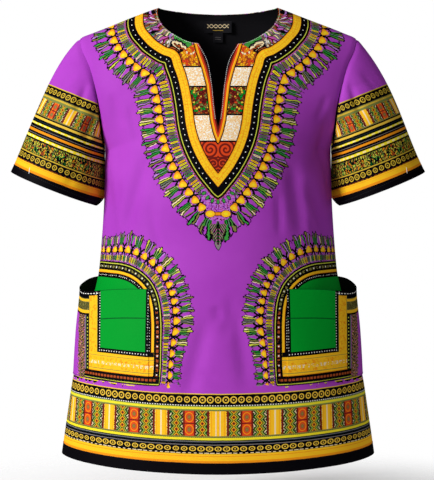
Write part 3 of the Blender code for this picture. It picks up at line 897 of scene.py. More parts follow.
class Paint:
    """A material's node tree, with one method that makes any node."""

    def __init__(self, name: str) -> None:
        """Start a material with an empty tree."""
        self.material = bpy.data.materials.new(name)
        self.material.use_nodes = True
        self.tree = self.material.node_tree
        self.tree.nodes.clear()

    def node(self, kind: str, settings: Optional[dict] = None, values: object = (),
             output: int = 0) -> Socket:
        """Add a node.

        Args:
            kind: The node's type.
            settings: Its settings; "stops" fills a colour ramp.
            values: What its sockets take, as a list in order or by name.
            output: Which output to return.

        Returns:
            The wrapped output.
        """
        made = self.tree.nodes.new(kind)
        for key, value in (settings or {}).items():
            if key == "stops":
                self._fill_ramp(made.color_ramp, value)
            else:
                setattr(made, key, value)
        pairs = values.items() if isinstance(values, dict) else enumerate(values)
        for key, value in pairs:
            if isinstance(value, Socket):
                self.tree.links.new(value.output, made.inputs[key])
            elif value is not None:
                made.inputs[key].default_value = value
        return Socket(self, made.outputs[output] if len(made.outputs) else None)

    @staticmethod
    def _fill_ramp(ramp: bpy.types.ColorRamp, stops: Sequence[Tuple[float, Colour]]) -> None:
        """Give a colour ramp its stops, with hard steps between them."""
        ramp.interpolation = "CONSTANT"
        while len(ramp.elements) > 1:
            ramp.elements.remove(ramp.elements[-1])
        ramp.elements[0].position = stops[0][0]
        ramp.elements[0].color = (*stops[0][1], 1.0)
        for position, colour in stops[1:]:
            ramp.elements.new(position).color = (*colour, 1.0)

    def field(self, name: str) -> Socket:
        """Return a field of the mesh, in millimetres."""
        return self.node("ShaderNodeAttribute", {"attribute_name": name}, output=2)

    def mix(self, base: object, top: object, mask: object) -> Socket:
        """Lay a colour over another where the mask is 1."""
        made = self.tree.nodes.new("ShaderNodeMix")
        made.data_type = "RGBA"
        for index, value in ((0, mask), (6, base), (7, top)):
            if isinstance(value, Socket):
                self.tree.links.new(value.output, made.inputs[index])
            elif index == 0:
                made.inputs[index].default_value = value
            else:
                made.inputs[index].default_value = (*value, 1.0)
        return Socket(self, made.outputs[2])

    def layers(self, base: object, *tops: Tuple[object, object]) -> Socket:
        """Lay colours over a base in order, each where its mask is 1."""
        for top, mask in tops:
            base = self.mix(base, top, mask)
        return base

    def bands(self, value: Socket, low: float, high: float,
              stops: Sequence[Tuple[float, Colour]]) -> Socket:
        """Return plain bands of colour, each from its own start to the next."""
        share = (value - low) / (high - low)
        scaled = [(min(max((at - low) / (high - low), 0.0), 1.0), colour) for at, colour in stops]
        return self.node("ShaderNodeValToRGB", {"stops": scaled}, [share])

    def noise(self, scale: float, detail: float = 2.0, vector: Optional[Socket] = None) -> Socket:
        """Return a noise on the object's own place, in repeats for each metre."""
        place = vector or self.node("ShaderNodeTexCoord", output=3)
        return self.node("ShaderNodeTexNoise", None, {
            "Vector": place, "Scale": scale, "Detail": detail})

    def cells(self, across: Socket, up: Socket, size: float) -> Tuple[Socket, Socket]:
        """Return a number for each cell of a crazed pattern, and the distance to its edge.

        Args:
            across: The first coordinate, in millimetres.
            up: The second coordinate, in millimetres.
            size: The size of a cell, in millimetres.

        Returns:
            A number from 0 to 1 for the cell, and the distance to its edge.
        """
        place = self.node("ShaderNodeCombineXYZ", None, [across / size, up / size])
        pick = self.node("ShaderNodeTexVoronoi", {"voronoi_dimensions": "2D"},
                         {"Vector": place, "Scale": 1.0}, 1)
        edge = self.node("ShaderNodeTexVoronoi", {
            "voronoi_dimensions": "2D", "feature": "DISTANCE_TO_EDGE"},
            {"Vector": place, "Scale": 1.0})
        number = self.node("ShaderNodeSeparateColor", None, [pick])
        return number, edge

    def finish(self, shader: Socket) -> bpy.types.Material:
        """Join the shader to the output and return the material."""
        self.node("ShaderNodeOutputMaterial", None, [shader])
        return self.material


@dataclass(frozen=True)
class Halo:
    """The ring of leaves, beads and fringe outside a neck or pocket band.

    Attributes:
        leaves: Where the inner leaves start and end.
        leaf_pitch: The distance from leaf to leaf.
        beads: How far out the gold beads sit.
        bead_radius: The size of a bead.
        pitch: The distance from bead to bead.
        fringe: Where the outer fringe starts and ends.
        fan_pitch: The distance from fan to fan of the fringe.
    """

    leaves: Tuple[float, float] = (16.8, 32.5)
    leaf_pitch: float = 5.2
    beads: float = BodyPrint.neck_beads
    bead_radius: float = 5.7
    pitch: float = BodyPrint.bead_pitch
    fringe: Tuple[float, float] = (49.5, 75.0)
    fan_pitch: float = BodyPrint.bead_pitch

    def over(self, paint: Paint, base: Socket, away: Socket, along: Socket,
             longer: Optional[Socket] = None) -> Socket:
        """Lay the halo over a base colour.

        Args:
            paint: The material's tree.
            base: The colour below.
            away: The distance out from the line.
            along: The distance along the line.
            longer: How much further the fringe reaches, where it does.

        Returns:
            The colour with the halo on it.
        """
        wobble = paint.noise(150.0, 2.0) - 0.5
        zone = away.within(self.leaves[0] - 2.5, self.fringe[0] + 1.0)
        result = paint.mix(base, self.ground(paint), zone)
        result = self._fringe(paint, result, away, along, wobble, longer)
        result = self._leaves(paint, result, away, along)
        return self._beads(paint, result, away, along, wobble)

    @staticmethod
    def ground(paint: Paint) -> Socket:
        """Return the specked purple between the leaves and beads."""
        speck = paint.noise(520.0, 0.0)
        ground = paint.mix(PURPLE, PINK, paint.noise(150.0, 2.0) * 6.0 - 2.8)
        ground = paint.mix(ground, LILAC, speck > 0.58)
        return paint.mix(ground, BLACK, speck < 0.37)

    def _leaves(self, paint: Paint, base: Socket, away: Socket, along: Socket) -> Socket:
        """Lay a row of leaves: their half width falls off with height to the fourth power."""
        start, end = self.leaves
        rise = (away - (start + end) / 2) / ((end - start) / 2)
        square = rise * rise
        half = (1.0 - square * square) * self.leaf_pitch * 0.37
        across = along.saw(self.leaf_pitch).absolute()
        pick = (along.step(self.leaf_pitch) * 0.618 + 0.13).fraction()
        leaf = paint.bands(pick, 0.0, 1.0, (
            (0, YELLOW), (0.24, GREY_GREEN), (0.44, LIME), (0.56, LEAF), (0.7, GOLD),
            (0.82, OLIVE), (0.94, CREAM)))
        inside = away.within(start, end)
        result = paint.mix(base, BLACK, (across < half + 0.55) * inside)
        result = paint.mix(result, leaf, (across < half - 0.35) * inside)
        return paint.mix(result, BLACK, (across < 0.38) * (rise.absolute() < 0.55))

    def _beads(self, paint: Paint, base: Socket, away: Socket, along: Socket,
               wobble: Socket) -> Socket:
        """Lay egg-shaped beads with a black fork halfway to the next."""
        across = along.saw(self.pitch)
        out = away - self.beads
        between = self.pitch / 2 - across.absolute()
        spread = (out.absolute() - self.bead_radius * 0.5).maximum(0.0) * 0.55
        arm = ((between - spread).absolute() < 1.7) * (out.absolute() < self.bead_radius + 5.0)
        bar = (out.absolute() < 1.5) * (between < 4.2)
        result = paint.mix(base, BLACK, arm.maximum(bar))
        wide = across * (1.0 + out * 0.085)
        radius = (wide * wide + out * out * 0.8).root() + wobble * 2.2
        result = paint.mix(result, BLACK, (radius < self.bead_radius + 1.0) * (across + out < 2.0))
        bead = paint.bands(radius + across * 0.3, 0.0, self.bead_radius + 2.0, (
            (0, YELLOW), (self.bead_radius * 0.3, GOLD), (self.bead_radius * 0.82, AMBER)))
        return paint.mix(result, bead, radius < self.bead_radius)

    def _fringe(self, paint: Paint, base: Socket, away: Socket, along: Socket,
                wobble: Socket, longer: Optional[Socket]) -> Socket:
        """Lay fans of strokes that spread from a root, with a round ragged top.

        A stroke's number is the sideways distance over the height above the
        root, in whole steps, and its colour is picked by that number.
        """
        start, end = self.fringe
        length = end - start
        aside = along.saw(self.fan_pitch)
        number = along.step(self.fan_pitch)
        up = away - start
        stroke = aside / (up.maximum(0.0) * 0.07 + 2.2) + wobble * 1.3
        edge = stroke.saw(1.0).absolute()
        pick = (stroke.step(1.0) * 0.618 + number * 0.37).fraction()
        colour = paint.bands(pick, 0.0, 1.0, (
            (0, OLIVE), (0.16, GREY_GREEN), (0.3, PURPLE), (0.42, CREAM), (0.49, LILAC),
            (0.6, GREY), (0.68, LEAF), (0.78, LIME), (0.86, OLIVE)))
        heart = (number * 0.5).fraction() > 0.3
        green = heart * (aside.absolute() < self.fan_pitch * 0.3) * up.within(1.5, length * 0.62)
        colour = paint.layers(colour, (GREEN, green * 0.75), (BLACK, edge > 0.27))
        share = aside / (self.fan_pitch / 2)
        top = (1.0 - share * share * 0.24) * length + wobble * 8.0 - edge * 3.0 + pick * 6.0 - 3.0
        if longer is not None:
            top = top + longer
        result = paint.mix(base, colour, (up > 0.0) * (up < top))
        slot = share.absolute() > up * (0.42 / length) + 0.56
        result = paint.mix(result, base, slot)
        rim = (up < top + 1.6) * (up > top - 0.6) * (edge < 0.4)
        return paint.mix(result, BLACK, rim)


@dataclass(frozen=True)
class Band:
    """A stretch of a border that carries a small repeat.

    Attributes:
        low: Where it starts, from the edge of the cloth.
        high: Where it ends.
        motif: Which repeat it carries.
        pitch: The distance from repeat to repeat.
        colour: The colour of the repeat.
        shift: How far along the first repeat sits.
    """

    low: float
    high: float
    motif: Motif
    pitch: float
    colour: Colour
    shift: float = 0.0

    def over(self, paint: Paint, base: Socket, height: Socket, along: Socket) -> Socket:
        """Lay the band's repeat over a base colour."""
        if self.shift:
            along = along - self.shift
        middle = (self.low + self.high) / 2
        half = (self.high - self.low) / 2
        up = height - middle
        across = along.saw(self.pitch)
        zone = height.within(self.low, self.high)
        if self.motif is Motif.DOTS:
            mask = (across.absolute() < self.pitch * 0.25) * (up.absolute() < half * 0.7)
        elif self.motif is Motif.DASHES:
            wide = self.pitch * 0.32 + along.step(self.pitch).sine() * self.pitch * 0.1
            mask = (across.absolute() < wide) * (up.absolute() < half * 0.75)
        elif self.motif is Motif.BLOCKS:
            return self._blocks(paint, base, height, along, zone)
        elif self.motif is Motif.SQUIGGLES:
            return self._squiggles(paint, base, height, along, zone)
        else:
            stretch = 1.0 if self.motif is Motif.RINGS else 0.68
            round_distance = ((across * stretch) * (across * stretch) + up * up).root()
            outer = along.step(self.pitch).sine() * half * 0.06 + half * 0.72
            ring = round_distance / outer
            mask = ring.within(0.64, 1.0).maximum(ring < 0.24)
        return paint.mix(base, self.colour, mask * zone)

    def _blocks(self, paint: Paint, base: Socket, height: Socket, along: Socket,
                zone: Socket) -> Socket:
        """Lay gold and red blocks with a green lattice between them.

        The distance from the nearest gold block picks gold, a dark edge, the
        lattice or a red block. The lattice is diamonds from the sum of the two
        distances to a repeat's middle.
        """
        middle = (self.low + self.high) / 2
        tall = self.high - self.low
        near = along.saw(self.pitch)
        gap = near.absolute()
        share = self.pitch / 91.0
        slim = share ** 1.5
        centre = (along.absolute() < self.pitch / 2) * (0.0 if self.shift else 1.0)
        gold_half = (centre * 3.6 + 10.2) * slim
        red_from = self.pitch / 2 - 7.2 * slim
        side_x = (gap / share - 24.8).absolute()
        rise = (height - middle).saw(tall / 4.35).absolute() / (tall / 8.7)
        net = side_x / 4.7 + rise
        speck = paint.noise(700.0, 0.0)
        green = paint.mix(LEAF, OLIVE, speck > 0.5)
        colour = paint.mix(green, LIME, net.within(1.35, 1.6))
        mint = paint.mix(CREAM, DARK_GREEN, speck > 0.48)
        colour = paint.layers(
            colour, (mint, net > 2.35), (BLACK, net.within(1.0, 1.4).maximum(net.within(1.95, 2.4))),
            (BLACK, net > 2.95), (GOLD, net < 1.0), (RUST, net < 0.72), (BLACK, net < 0.3),
            (DARK_RED, gap < gold_half + 3.4))
        scallop = gold_half - 1.3 + height.saw(3.4).absolute() * 0.9
        inside = gap < scallop
        stripes = paint.bands(gap, 0.0, 15.0, (
            (0, GOLD), (1.8, AMBER), (2.4, CREAM), (4.2, GOLD), (9.8, AMBER), (10.6, GOLD)))
        plain = paint.bands(gap, 0.0, 15.0, ((0, CREAM), (1.2, GOLD), (6.8, AMBER), (7.6, GOLD)))
        colour = paint.layers(
            colour, (CREAM, (gap < gold_half) * (speck > 0.5)),
            (paint.mix(plain, stripes, centre), inside))
        to_red = self.pitch / 2 - gap
        red_zone = gap > red_from
        colour = paint.mix(colour, DARK_RED, gap > red_from - 3.0)
        flower_up = (height - middle).absolute() - tall * 0.23
        bloom = (to_red * to_red * 0.8 + flower_up * flower_up * 0.62).root()
        petal = paint.bands(bloom, 0.0, 10.0, (
            (0, OLIVE), (1.5, RUST), (2.4, OLIVE), (3, RED), (5, AMBER), (6.2, RED)))
        red_mask = red_zone * ((height - middle).absolute() > 0.9)
        colour = paint.mix(colour, petal, red_mask)
        rim = (height - middle).absolute() > tall / 2 - 1.6
        colour = paint.mix(colour, OLIVE, rim)
        return paint.mix(base, colour, zone)

    def _squiggles(self, paint: Paint, base: Socket, height: Socket, along: Socket,
                   zone: Socket) -> Socket:
        """Lay many coloured wavy strokes across the band."""
        bent = along + (height / 2.6).sine() * 1.5
        pick, edge = paint.cells(bent, height * 0.42, self.pitch * 0.22)
        stroke = paint.bands(pick, 0.0, 1.0, (
            (0, STRAW), (0.2, RUST), (0.28, LIME), (0.46, LEAF), (0.54, OLIVE), (0.64, BLACK),
            (0.76, AMBER), (0.84, LIME), (0.92, DARK_GREEN)))
        stroke = paint.mix(stroke, BLACK, edge < 0.15)
        fence = along.saw(self.pitch * 2.0).absolute() < 0.8
        stroke = paint.mix(stroke, BLACK, fence)
        return paint.mix(base, stroke, zone)


HEM_PLAIN = (
    (0, BLACK), (17.6, AMBER), (21, GOLD), (28, AMBER), (28.7, GOLD), (31.6, BLACK),
    (45.8, GREY), (46.7, BLACK), (49.6, TEAL), (50.9, GREY), (51.5, BLACK), (53, LIME),
    (53.6, YELLOW), (56.8, LIME), (57.4, OLIVE), (58.2, LEAF), (100.5, OLIVE), (101.2, LIME),
    (102.2, YELLOW), (104.2, LIME),
    (105.6, BLACK), (124.4, STRAW), (HEM_REACH, PURPLE),
)
HEM_BANDS = (
    Band(32.6, 34.2, Motif.DASHES, 9.0, CREAM),
    Band(34.8, 45.4, Motif.OVALS, 13.4, STRAW),
    Band(57.2, 58.2, Motif.DOTS, 3.2, BLACK),
    Band(58.4, 100.6, Motif.BLOCKS, 91.0, GOLD),
    Band(106.6, 108.6, Motif.DOTS, 4.2, WHITE),
    Band(109.4, 124.0, Motif.RINGS, 12.3, STRAW),
)
CUFF_PLAIN = (
    (0, BLACK), (14, AMBER), (17.5, GOLD), (24.5, AMBER), (25.4, GOLD), (27.6, BLACK),
    (43, DULL_STRAW), (44.6, BLACK), (46, OLIVE), (66, BLACK), (68.5, YELLOW),
    (73, BLACK), (75.6, GREY), (76.2, BLACK), (79, AMBER), (83, BLACK), (86, GREY),
    (86.6, BLACK), (91, YELLOW), (94.2, BLACK), (96.4, TEAL), (97.6, BLACK), (100.6, STRAW),
    (104.6, BLACK), (107, LEAF), (137, OLIVE), (139, DULL_STRAW), (141.5, OLIVE),
    (143, BLACK),
    (158.5, DULL_STRAW), (CUFF_REACH, PURPLE),
)
CUFF_BANDS = (
    Band(27.9, 29.2, Motif.DASHES, 8.0, RUST),
    Band(30.0, 42.6, Motif.RINGS, 11.4, DULL_STRAW),
    Band(46.0, 66.0, Motif.SQUIGGLES, 9.0, OLIVE),
    Band(69.0, 72.4, Motif.DOTS, 12.0, CREAM),
    Band(91.4, 93.8, Motif.DOTS, 13.0, CREAM),
    Band(107.0, 137.0, Motif.BLOCKS, 72.0, GOLD, 30.0),
    Band(144.6, 157.6, Motif.RINGS, 11.4, DULL_STRAW),
)


@dataclass(frozen=True)
class PrintedCotton:
    """Printed cotton, nearly matte.

    Attributes:
        name: The material's name.
        neck: Whether it carries the neck print.
        slit: Whether it carries the blocks beside the slit.
        arch: Whether it carries the arch round a pocket.
        pocket: Whether it is the pocket itself.
        hem: The plain bands of its border.
        bands: The repeats of its border.
        reach: How far its border reaches.
    """

    name: str
    neck: bool = False
    slit: bool = False
    arch: bool = False
    pocket: bool = False
    hem: Tuple = ()
    bands: Tuple = ()
    reach: float = HEM_REACH

    def make(self) -> bpy.types.Material:
        """Return the material."""
        paint = Paint(self.name)
        mottle = paint.noise(9.0, 3.0)
        colour = paint.mix(PURPLE, DEEP_PURPLE, (mottle - 0.42) * 0.9)
        if self.arch:
            colour = self._arch(paint, colour)
        if self.neck:
            colour = self._neck(paint, colour)
        if self.hem:
            colour = self._border(paint, colour)
        return self._cloth(paint, colour)

    def _cloth(self, paint: Paint, colour: Socket) -> bpy.types.Material:
        """Give the print its weave, its crumple and a low gloss."""
        place = paint.node("ShaderNodeTexCoord", output=3)
        warp = paint.node("ShaderNodeTexWave", {"bands_direction": "X"}, {
            "Vector": place, "Scale": 520.0, "Distortion": 0.6, "Detail": 1.0})
        weft = paint.node("ShaderNodeTexWave", {"bands_direction": "Z"}, {
            "Vector": place, "Scale": 520.0, "Distortion": 0.6, "Detail": 1.0})
        weave = (warp + weft) * 0.5
        crumple = paint.noise(38.0, 3.0)
        height = weave * 0.12 + crumple * 0.9
        bump = paint.node("ShaderNodeBump", None, {
            "Strength": 0.22, "Distance": 0.0016, "Height": height})
        rough = 0.5 + crumple * 0.16
        shader = paint.node("ShaderNodeBsdfPrincipled", None, {
            "Base Color": colour, "Roughness": rough, "Normal": bump, "Specular IOR Level": 0.04})
        return paint.finish(shader)

    def _border(self, paint: Paint, base: Socket) -> Socket:
        """Lay the border's plain bands and repeats."""
        height, along = paint.field("band_t"), paint.field("band_a")
        steady = height + (paint.noise(60.0, 1.0) - 0.5) * 0.8
        colour = paint.bands(steady, 0.0, self.reach + 4.0, self.hem)
        for band in self.bands:
            colour = band.over(paint, colour, steady, along)
        return paint.mix(base, colour, steady < self.reach)

    def _neck(self, paint: Paint, base: Socket) -> Socket:
        """Lay the neck's halo and bands, and inside them the squiggles and blocks."""
        away, along = paint.field("neck_d"), paint.field("neck_s")
        x, z = self._place(paint)
        longer = (27.0 - x).maximum(0.0) * 0.95 * (z < -326.0) if self.slit else None
        colour = Halo().over(paint, base, away, paint.field("neck_b"), longer)
        if self.slit:
            colour = self._tip(paint, colour, x, z)
        plain = paint.bands(away, -20.0, 20.0, (
            (-20, BLACK), (-14, AMBER), (-12.9, GOLD), (-7.4, AMBER), (-6.7, GOLD),
            (-1, AMBER), (-0.4, BLACK), (10.8, LIME), (12.3, BLACK), (15.4, RUST)))
        fleck = paint.noise(330.0, 1.0)
        gold = away.within(-12.6, -1.2)
        plain = paint.mix(plain, AMBER, gold * (fleck > 0.56) * 0.7)
        knot = (along.saw(5.0).absolute() < 1.5) * ((away + 10.0).saw(4.2).absolute() < 1.1)
        plain = paint.mix(plain, YELLOW, gold * knot * 0.55)
        colour = paint.mix(colour, plain, away < 16.2)
        dot = (along.saw(9.6).absolute() < 0.75) * ((away - 5.2).absolute() < 0.8) * (x > 9.0)
        colour = paint.mix(colour, WHITE, dot)
        inner = away < -15.4
        bent = along + (away / 2.2).sine() * 0.9
        pick, edge = paint.cells(bent + x * 0.3, away * 0.2, 2.2)
        stroke = paint.bands(pick, 0.0, 1.0, (
            (0, RUST), (0.12, GREY), (0.26, CREAM), (0.38, OLIVE), (0.48, PINK), (0.58, LEAF),
            (0.66, LILAC), (0.78, DARK_RED), (0.88, WHITE), (0.94, BLACK)))
        stroke = paint.mix(stroke, BLACK, edge < 0.1)
        colour = paint.layers(colour, (stroke, inner), (BLACK, away.within(-15.6, -14.0)))
        if self.slit:
            colour = self._blocks(paint, colour, inner)
        return colour

    @staticmethod
    def _place(paint: Paint) -> Tuple[Socket, Socket]:
        """Return the distance from the middle and the height, in millimetres."""
        place = paint.node("ShaderNodeTexCoord", output=3)
        split = paint.node("ShaderNodeSeparateXYZ", None, [place])
        height = Socket(paint, split.output.node.outputs[2])
        return (split * 1000.0).absolute(), height * 1000.0

    @staticmethod
    def _tip(paint: Paint, base: Socket, x: Socket, z: Socket) -> Socket:
        """Lay what hangs below the neck's point: green seeds, a gold bow and a stem."""
        root_z, bow_z = z + 305.0, z + 350.0
        fan = (x * x + root_z * root_z).root()
        below = (z < -308.0) * (x < 27.0)
        bow = (x * x * 0.3 + bow_z * bow_z).root()
        clear = (below * fan.within(12.0, 35.0)).maximum((x < 19.0) * below * fan.within(12.0, 48.0))
        clear = clear.maximum(bow < 11.5)
        result = paint.mix(base, Halo.ground(paint), clear)
        angle = x.bearing(root_z * -1.0)
        turn = angle.saw(0.36).absolute() * 27.0
        out = fan - 25.5
        seed = turn * turn * 2.6 + out * out
        result = paint.layers(result, (BLACK, (seed < 22.0) * below), (LEAF, (seed < 11.0) * below))
        lobe_x = x - 12.5
        lobe = (lobe_x * lobe_x * 0.62 + bow_z * bow_z * 1.25).root()
        result = paint.layers(
            result, (BLACK, (bow_z.absolute() < 3.4) * (x < 10.0)),
            (AMBER, (bow_z.absolute() < 2.4) * (x < 10.0)), (DARK_RED, lobe < 6.6), (GOLD, lobe < 5.8),
            (YELLOW, lobe < 2.6))
        tail = (x < (z + 402.0) * 0.42) * z.within(-402.0, -366.0)
        strokes = paint.bands(((z + x * 1.5) / 5.5).fraction(), 0.0, 1.0, (
            (0, BLACK), (0.25, PINK), (0.45, OLIVE), (0.62, BLACK), (0.8, GREEN)))
        result = paint.mix(result, strokes, tail)
        stem = (x < 1.3) * z.within(-399.0, -366.0)
        barb = ((x - (z + 366.0).absolute() * 0.45).absolute() < 1.0) * z.within(-381.0, -366.0)
        return paint.mix(result, BLACK, stem.maximum(barb))

    def _blocks(self, paint: Paint, base: Socket, inner: Socket) -> Socket:
        """Lay the panes beside the slit, and the scrolled triangle below them."""
        x, split_z = self._place(paint)
        slit = paint.field("slit_d")
        grain = paint.noise(430.0, 1.0)
        below = split_z + (x - 38.0) * 0.72 < -72.0
        zone = inner * below
        pick, edge = paint.cells(x + (split_z / 3.0).sine() * 1.2, split_z, 3.6)
        floral = paint.bands(pick, 0.0, 1.0, (
            (0, AMBER), (0.3, CREAM), (0.42, RED), (0.6, GOLD), (0.78, RUST), (0.9, AMBER)))
        floral = paint.mix(floral, DARK_RED, edge < 0.07)
        pane = paint.bands(grain, 0.3, 0.7, ((0.3, WHITE), (0.44, CREAM), (0.52, AMBER), (0.57, CREAM)))
        dark = paint.bands(pick, 0.0, 1.0, (
            (0, DARK_RED), (0.2, RUST), (0.34, GREEN), (0.5, STRAW), (0.64, DARK_RED),
            (0.8, OLIVE), (0.9, RED)))
        dark = paint.mix(dark, BLACK, edge < 0.1)
        colour = paint.mix(floral, pane, split_z < -111.7)
        colour = paint.layers(colour, (dark, split_z < -145.0), (pane, split_z < -190.7))
        swirl_x, swirl_z = x - 12.5, split_z + 247.0
        swirl = (swirl_x * swirl_x + swirl_z * swirl_z).root()
        turn = swirl_x.bearing(swirl_z)
        scroll = (swirl * 0.95 + turn).sine()
        scroll = paint.mix(RED, DARK_RED, scroll > 0.1)
        low_x, low_z = x - 7.0, split_z + 270.0
        low = (low_x * low_x + low_z * low_z).root()
        curl = (low * 1.25 - low_x.bearing(low_z)).sine()
        curl = paint.mix(DARK_RED, RED, curl > 0.6)
        scroll = paint.layers(
            scroll, (curl, split_z < -260.0), (DARK_RED, (split_z + 260.0).absolute() < 1.0))
        colour = paint.mix(colour, scroll, split_z < -234.5)
        for level in (-111.7, -145.0, -190.7, -234.0):
            colour = paint.mix(colour, BLACK, (split_z - level).absolute() < 1.3)
        colour = paint.mix(base, colour, zone)
        lines = paint.bands(slit, -1.6, 14.0, (
            (-1.6, BLACK), (0, AMBER), (1.8, GOLD), (3.4, RED), (6.2, DARK_RED), (8.6, BLACK)))
        return paint.mix(colour, lines, slit > -1.6)

    def _arch(self, paint: Paint, base: Socket) -> Socket:
        """Lay the arch round the pocket, and inside it the frame and green field."""
        away, along = paint.field("arch_d"), paint.field("arch_s")
        height = paint.field("pocket_z")
        halo = Halo(leaves=(4.4, 16.5), leaf_pitch=4.8, beads=BodyPrint.arch_beads, bead_radius=5.2,
                    pitch=17.4, fringe=(32.5, 53.5), fan_pitch=17.4)
        outside = halo.over(paint, base, away, paint.field("arch_b"))
        ragged = height + (paint.noise(110.0) - 0.5) * 28.0
        colour = paint.mix(base, outside, (ragged > -621.0).maximum(away < 3.0))
        plain = paint.bands(away, -30.0, 5.0, (
            (-30, GREEN), (-24, BLACK), (-16.2, AMBER), (-15.4, GOLD), (-11.8, BLACK),
            (-1, LIME), (0.6, BLACK)))
        colour = paint.mix(colour, plain, away < 3.4)
        wear = paint.noise(230.0, 1.0)
        dash = (along.saw(7.6).absolute() < 2.6) * ((away + 6.0).absolute() < 2.0)
        dashes = paint.mix(OLIVE, RUST, height < -505.0)
        colour = paint.mix(colour, dashes, dash * (wear > 0.42))
        dot = (along.saw(15.2).absolute() < 1.0) * ((away + 6.0).absolute() < 1.1)
        colour = paint.mix(colour, WHITE, dot)
        fine = (along.saw(4.6).absolute() < 0.8) * ((away + 20.0).absolute() < 0.8)
        colour = paint.mix(colour, WHITE, fine * (wear > 0.44))
        return self._pocket_frame(paint, colour, away, height)

    def _pocket_frame(self, paint: Paint, base: Socket, away: Socket, height: Socket) -> Socket:
        """Lay the frame at the pocket's foot and side, the band round its mouth, and painted shade along
        its crease.
        """
        reach = paint.field("pocket_a")
        fleck = paint.noise(260.0, 2.0)
        carried = height < -512.0
        height = height - (reach - 115.0).maximum(0.0) * 0.052
        gold = paint.mix(GOLD, AMBER, (fleck - 0.5) * 6.0)
        foot = paint.bands(height, -622.0, -560.0, (
            (-622, LIME), (-620.2, BLACK), (-608.5, AMBER), (-607.6, GOLD), (-604.6, OLIVE),
            (-603.8, GOLD), (-583.6, OLIVE), (-582.8, GOLD), (-578.4, BLACK), (-570.5, GREEN)))
        foot = paint.mix(foot, gold, height.within(-602.5, -585.0))
        mark = (reach.saw(8.2).absolute() < 2.9) * ((height + 594.5).absolute() < 2.6)
        foot = paint.mix(foot, CREAM, mark * (fleck > 0.5))
        colour = paint.mix(base, foot, (height < -570.5) * (away < -11.8))
        deep = paint.bands(height, -642.0, -608.0, (
            (-642, PURPLE), (-622.4, LIME), (-620.2, BLACK)))
        speck = paint.noise(420.0, 1.0)
        scraps = height.within(-631.0, -623.0) * (speck > 0.46)
        deep = paint.mix(deep, paint.mix(BLACK, STRAW, speck > 0.54), scraps)
        colour = paint.mix(colour, deep, (height < -608.5) * (away < 0.0))
        dash = (reach.saw(6.4).absolute() < 2.3) * ((height + 614.3).absolute() < 1.8)
        colour = paint.mix(colour, RUST, dash * (away < -4.0))
        tick = (reach.saw(5.0).absolute() < 0.8) * ((height + 574.4).absolute() < 0.8)
        colour = paint.mix(colour, WHITE, tick * (away < -20.0))
        side = paint.bands(reach, 200.0, 285.0, (
            (200, BLACK), (209, OLIVE), (210, GOLD), (227.6, OLIVE), (228.8, BLACK),
            (236, GREY_GREEN), (262, PURPLE)))
        side = paint.mix(side, gold, reach.within(211.6, 226.4))
        bent = height + (reach / 3.0).sine() * 2.2 + (fleck - 0.5) * 12.0
        leafy = paint.bands((bent / 5.6).fraction(), 0.0, 1.0, (
            (0, BLACK), (0.24, STRAW), (0.36, PINK), (0.46, BLACK), (0.6, OLIVE), (0.7, RUST),
            (0.78, BLACK), (0.9, GREY_GREEN)))
        ragged = 262.0 + (fleck - 0.5) * 26.0
        side = paint.layers(side, (PURPLE, reach > 239.0), (leafy, (reach > 240.0) * (reach < ragged)))
        white_dots = (height.saw(4.6).absolute() < 0.8) * ((reach - 204.5).absolute() < 0.8)
        side = paint.mix(side, WHITE, white_dots)
        dots = (height.saw(6.0).absolute() < 1.1) * ((reach - 232.5).absolute() < 1.2)
        side = paint.mix(side, LIME, dots)
        in_column = (reach > 203.0) * (height > -608.5) * (away < -11.8)
        in_foot = (height < -578.2) * (reach < 228.8)
        if not self.pocket:
            under = (reach > 243.0) * carried
            return paint.mix(colour, PURPLE, under * (away < 3.0))
        colour = paint.mix(colour, side, (in_column * (1.0 - in_foot)).maximum(reach > 240.0))
        down = paint.field("mouth_t")
        # Painted shade: a dark green line stands in for the shade of the fold crease 47 mm below the
        # mouth, and another runs along the mouth's top edge.
        painted_crease_shade = ((down - 47.0).absolute() < 0.9).maximum(down < 0.9)
        colour = paint.mix(colour, DARK_GREEN, painted_crease_shade * (reach < 205.0))
        mouth = paint.bands(down, 0.0, 46.0, (
            (0, BLACK), (12, OLIVE), (13, GOLD), (17, OLIVE), (31, GOLD), (36, BLACK)))
        hatch = (reach + down * 1.6).saw(3.6).absolute() < 1.0
        mouth = paint.mix(mouth, BLACK, hatch * (fleck > 0.4) * down.within(18.0, 30.5))
        colour = paint.mix(colour, mouth, (reach > 228.8) * (down < 39.0))
        rim = (reach > 204.0) * (down < 7.5)
        colour = paint.mix(colour, BLACK, rim)
        stitch = (reach.saw(7.0).absolute() < 1.9) * ((down - 4.2).absolute() < 0.7)
        return paint.mix(colour, WHITE, stitch * rim)


@dataclass(frozen=True)
class PlainCloth:
    """A plain cloth or thread of one colour with a fine grain.

    Attributes:
        name: The material's name.
        colour: Its colour.
        roughness: How dull it is.
    """

    name: str
    colour: Colour
    roughness: float = 0.7

    def make(self) -> bpy.types.Material:
        """Return the material."""
        paint = Paint(self.name)
        grain = paint.noise(900.0, 1.0)
        lighter = tuple(min(channel * 1.5 + 0.004, 1.0) for channel in self.colour)
        colour = paint.mix(self.colour, lighter, grain)
        bump = paint.node("ShaderNodeBump", None, {
            "Strength": 0.15, "Distance": 0.0005, "Height": grain})
        shader = paint.node("ShaderNodeBsdfPrincipled", None, {
            "Base Color": colour, "Roughness": self.roughness, "Normal": bump,
            "Specular IOR Level": 0.2})
        return paint.finish(shader)


def quads(rows: int, columns: int, ring: bool) -> np.ndarray:
    """Return the quads of a grid, with the columns closed or not."""
    last = columns if ring else columns - 1
    row, column = np.meshgrid(np.arange(rows - 1), np.arange(last), indexing="ij")
    following = (column + 1) % columns
    faces = [row * columns + column, row * columns + following,
             (row + 1) * columns + following, (row + 1) * columns + column]
    return np.stack(faces, axis=-1).reshape(-1, 4)


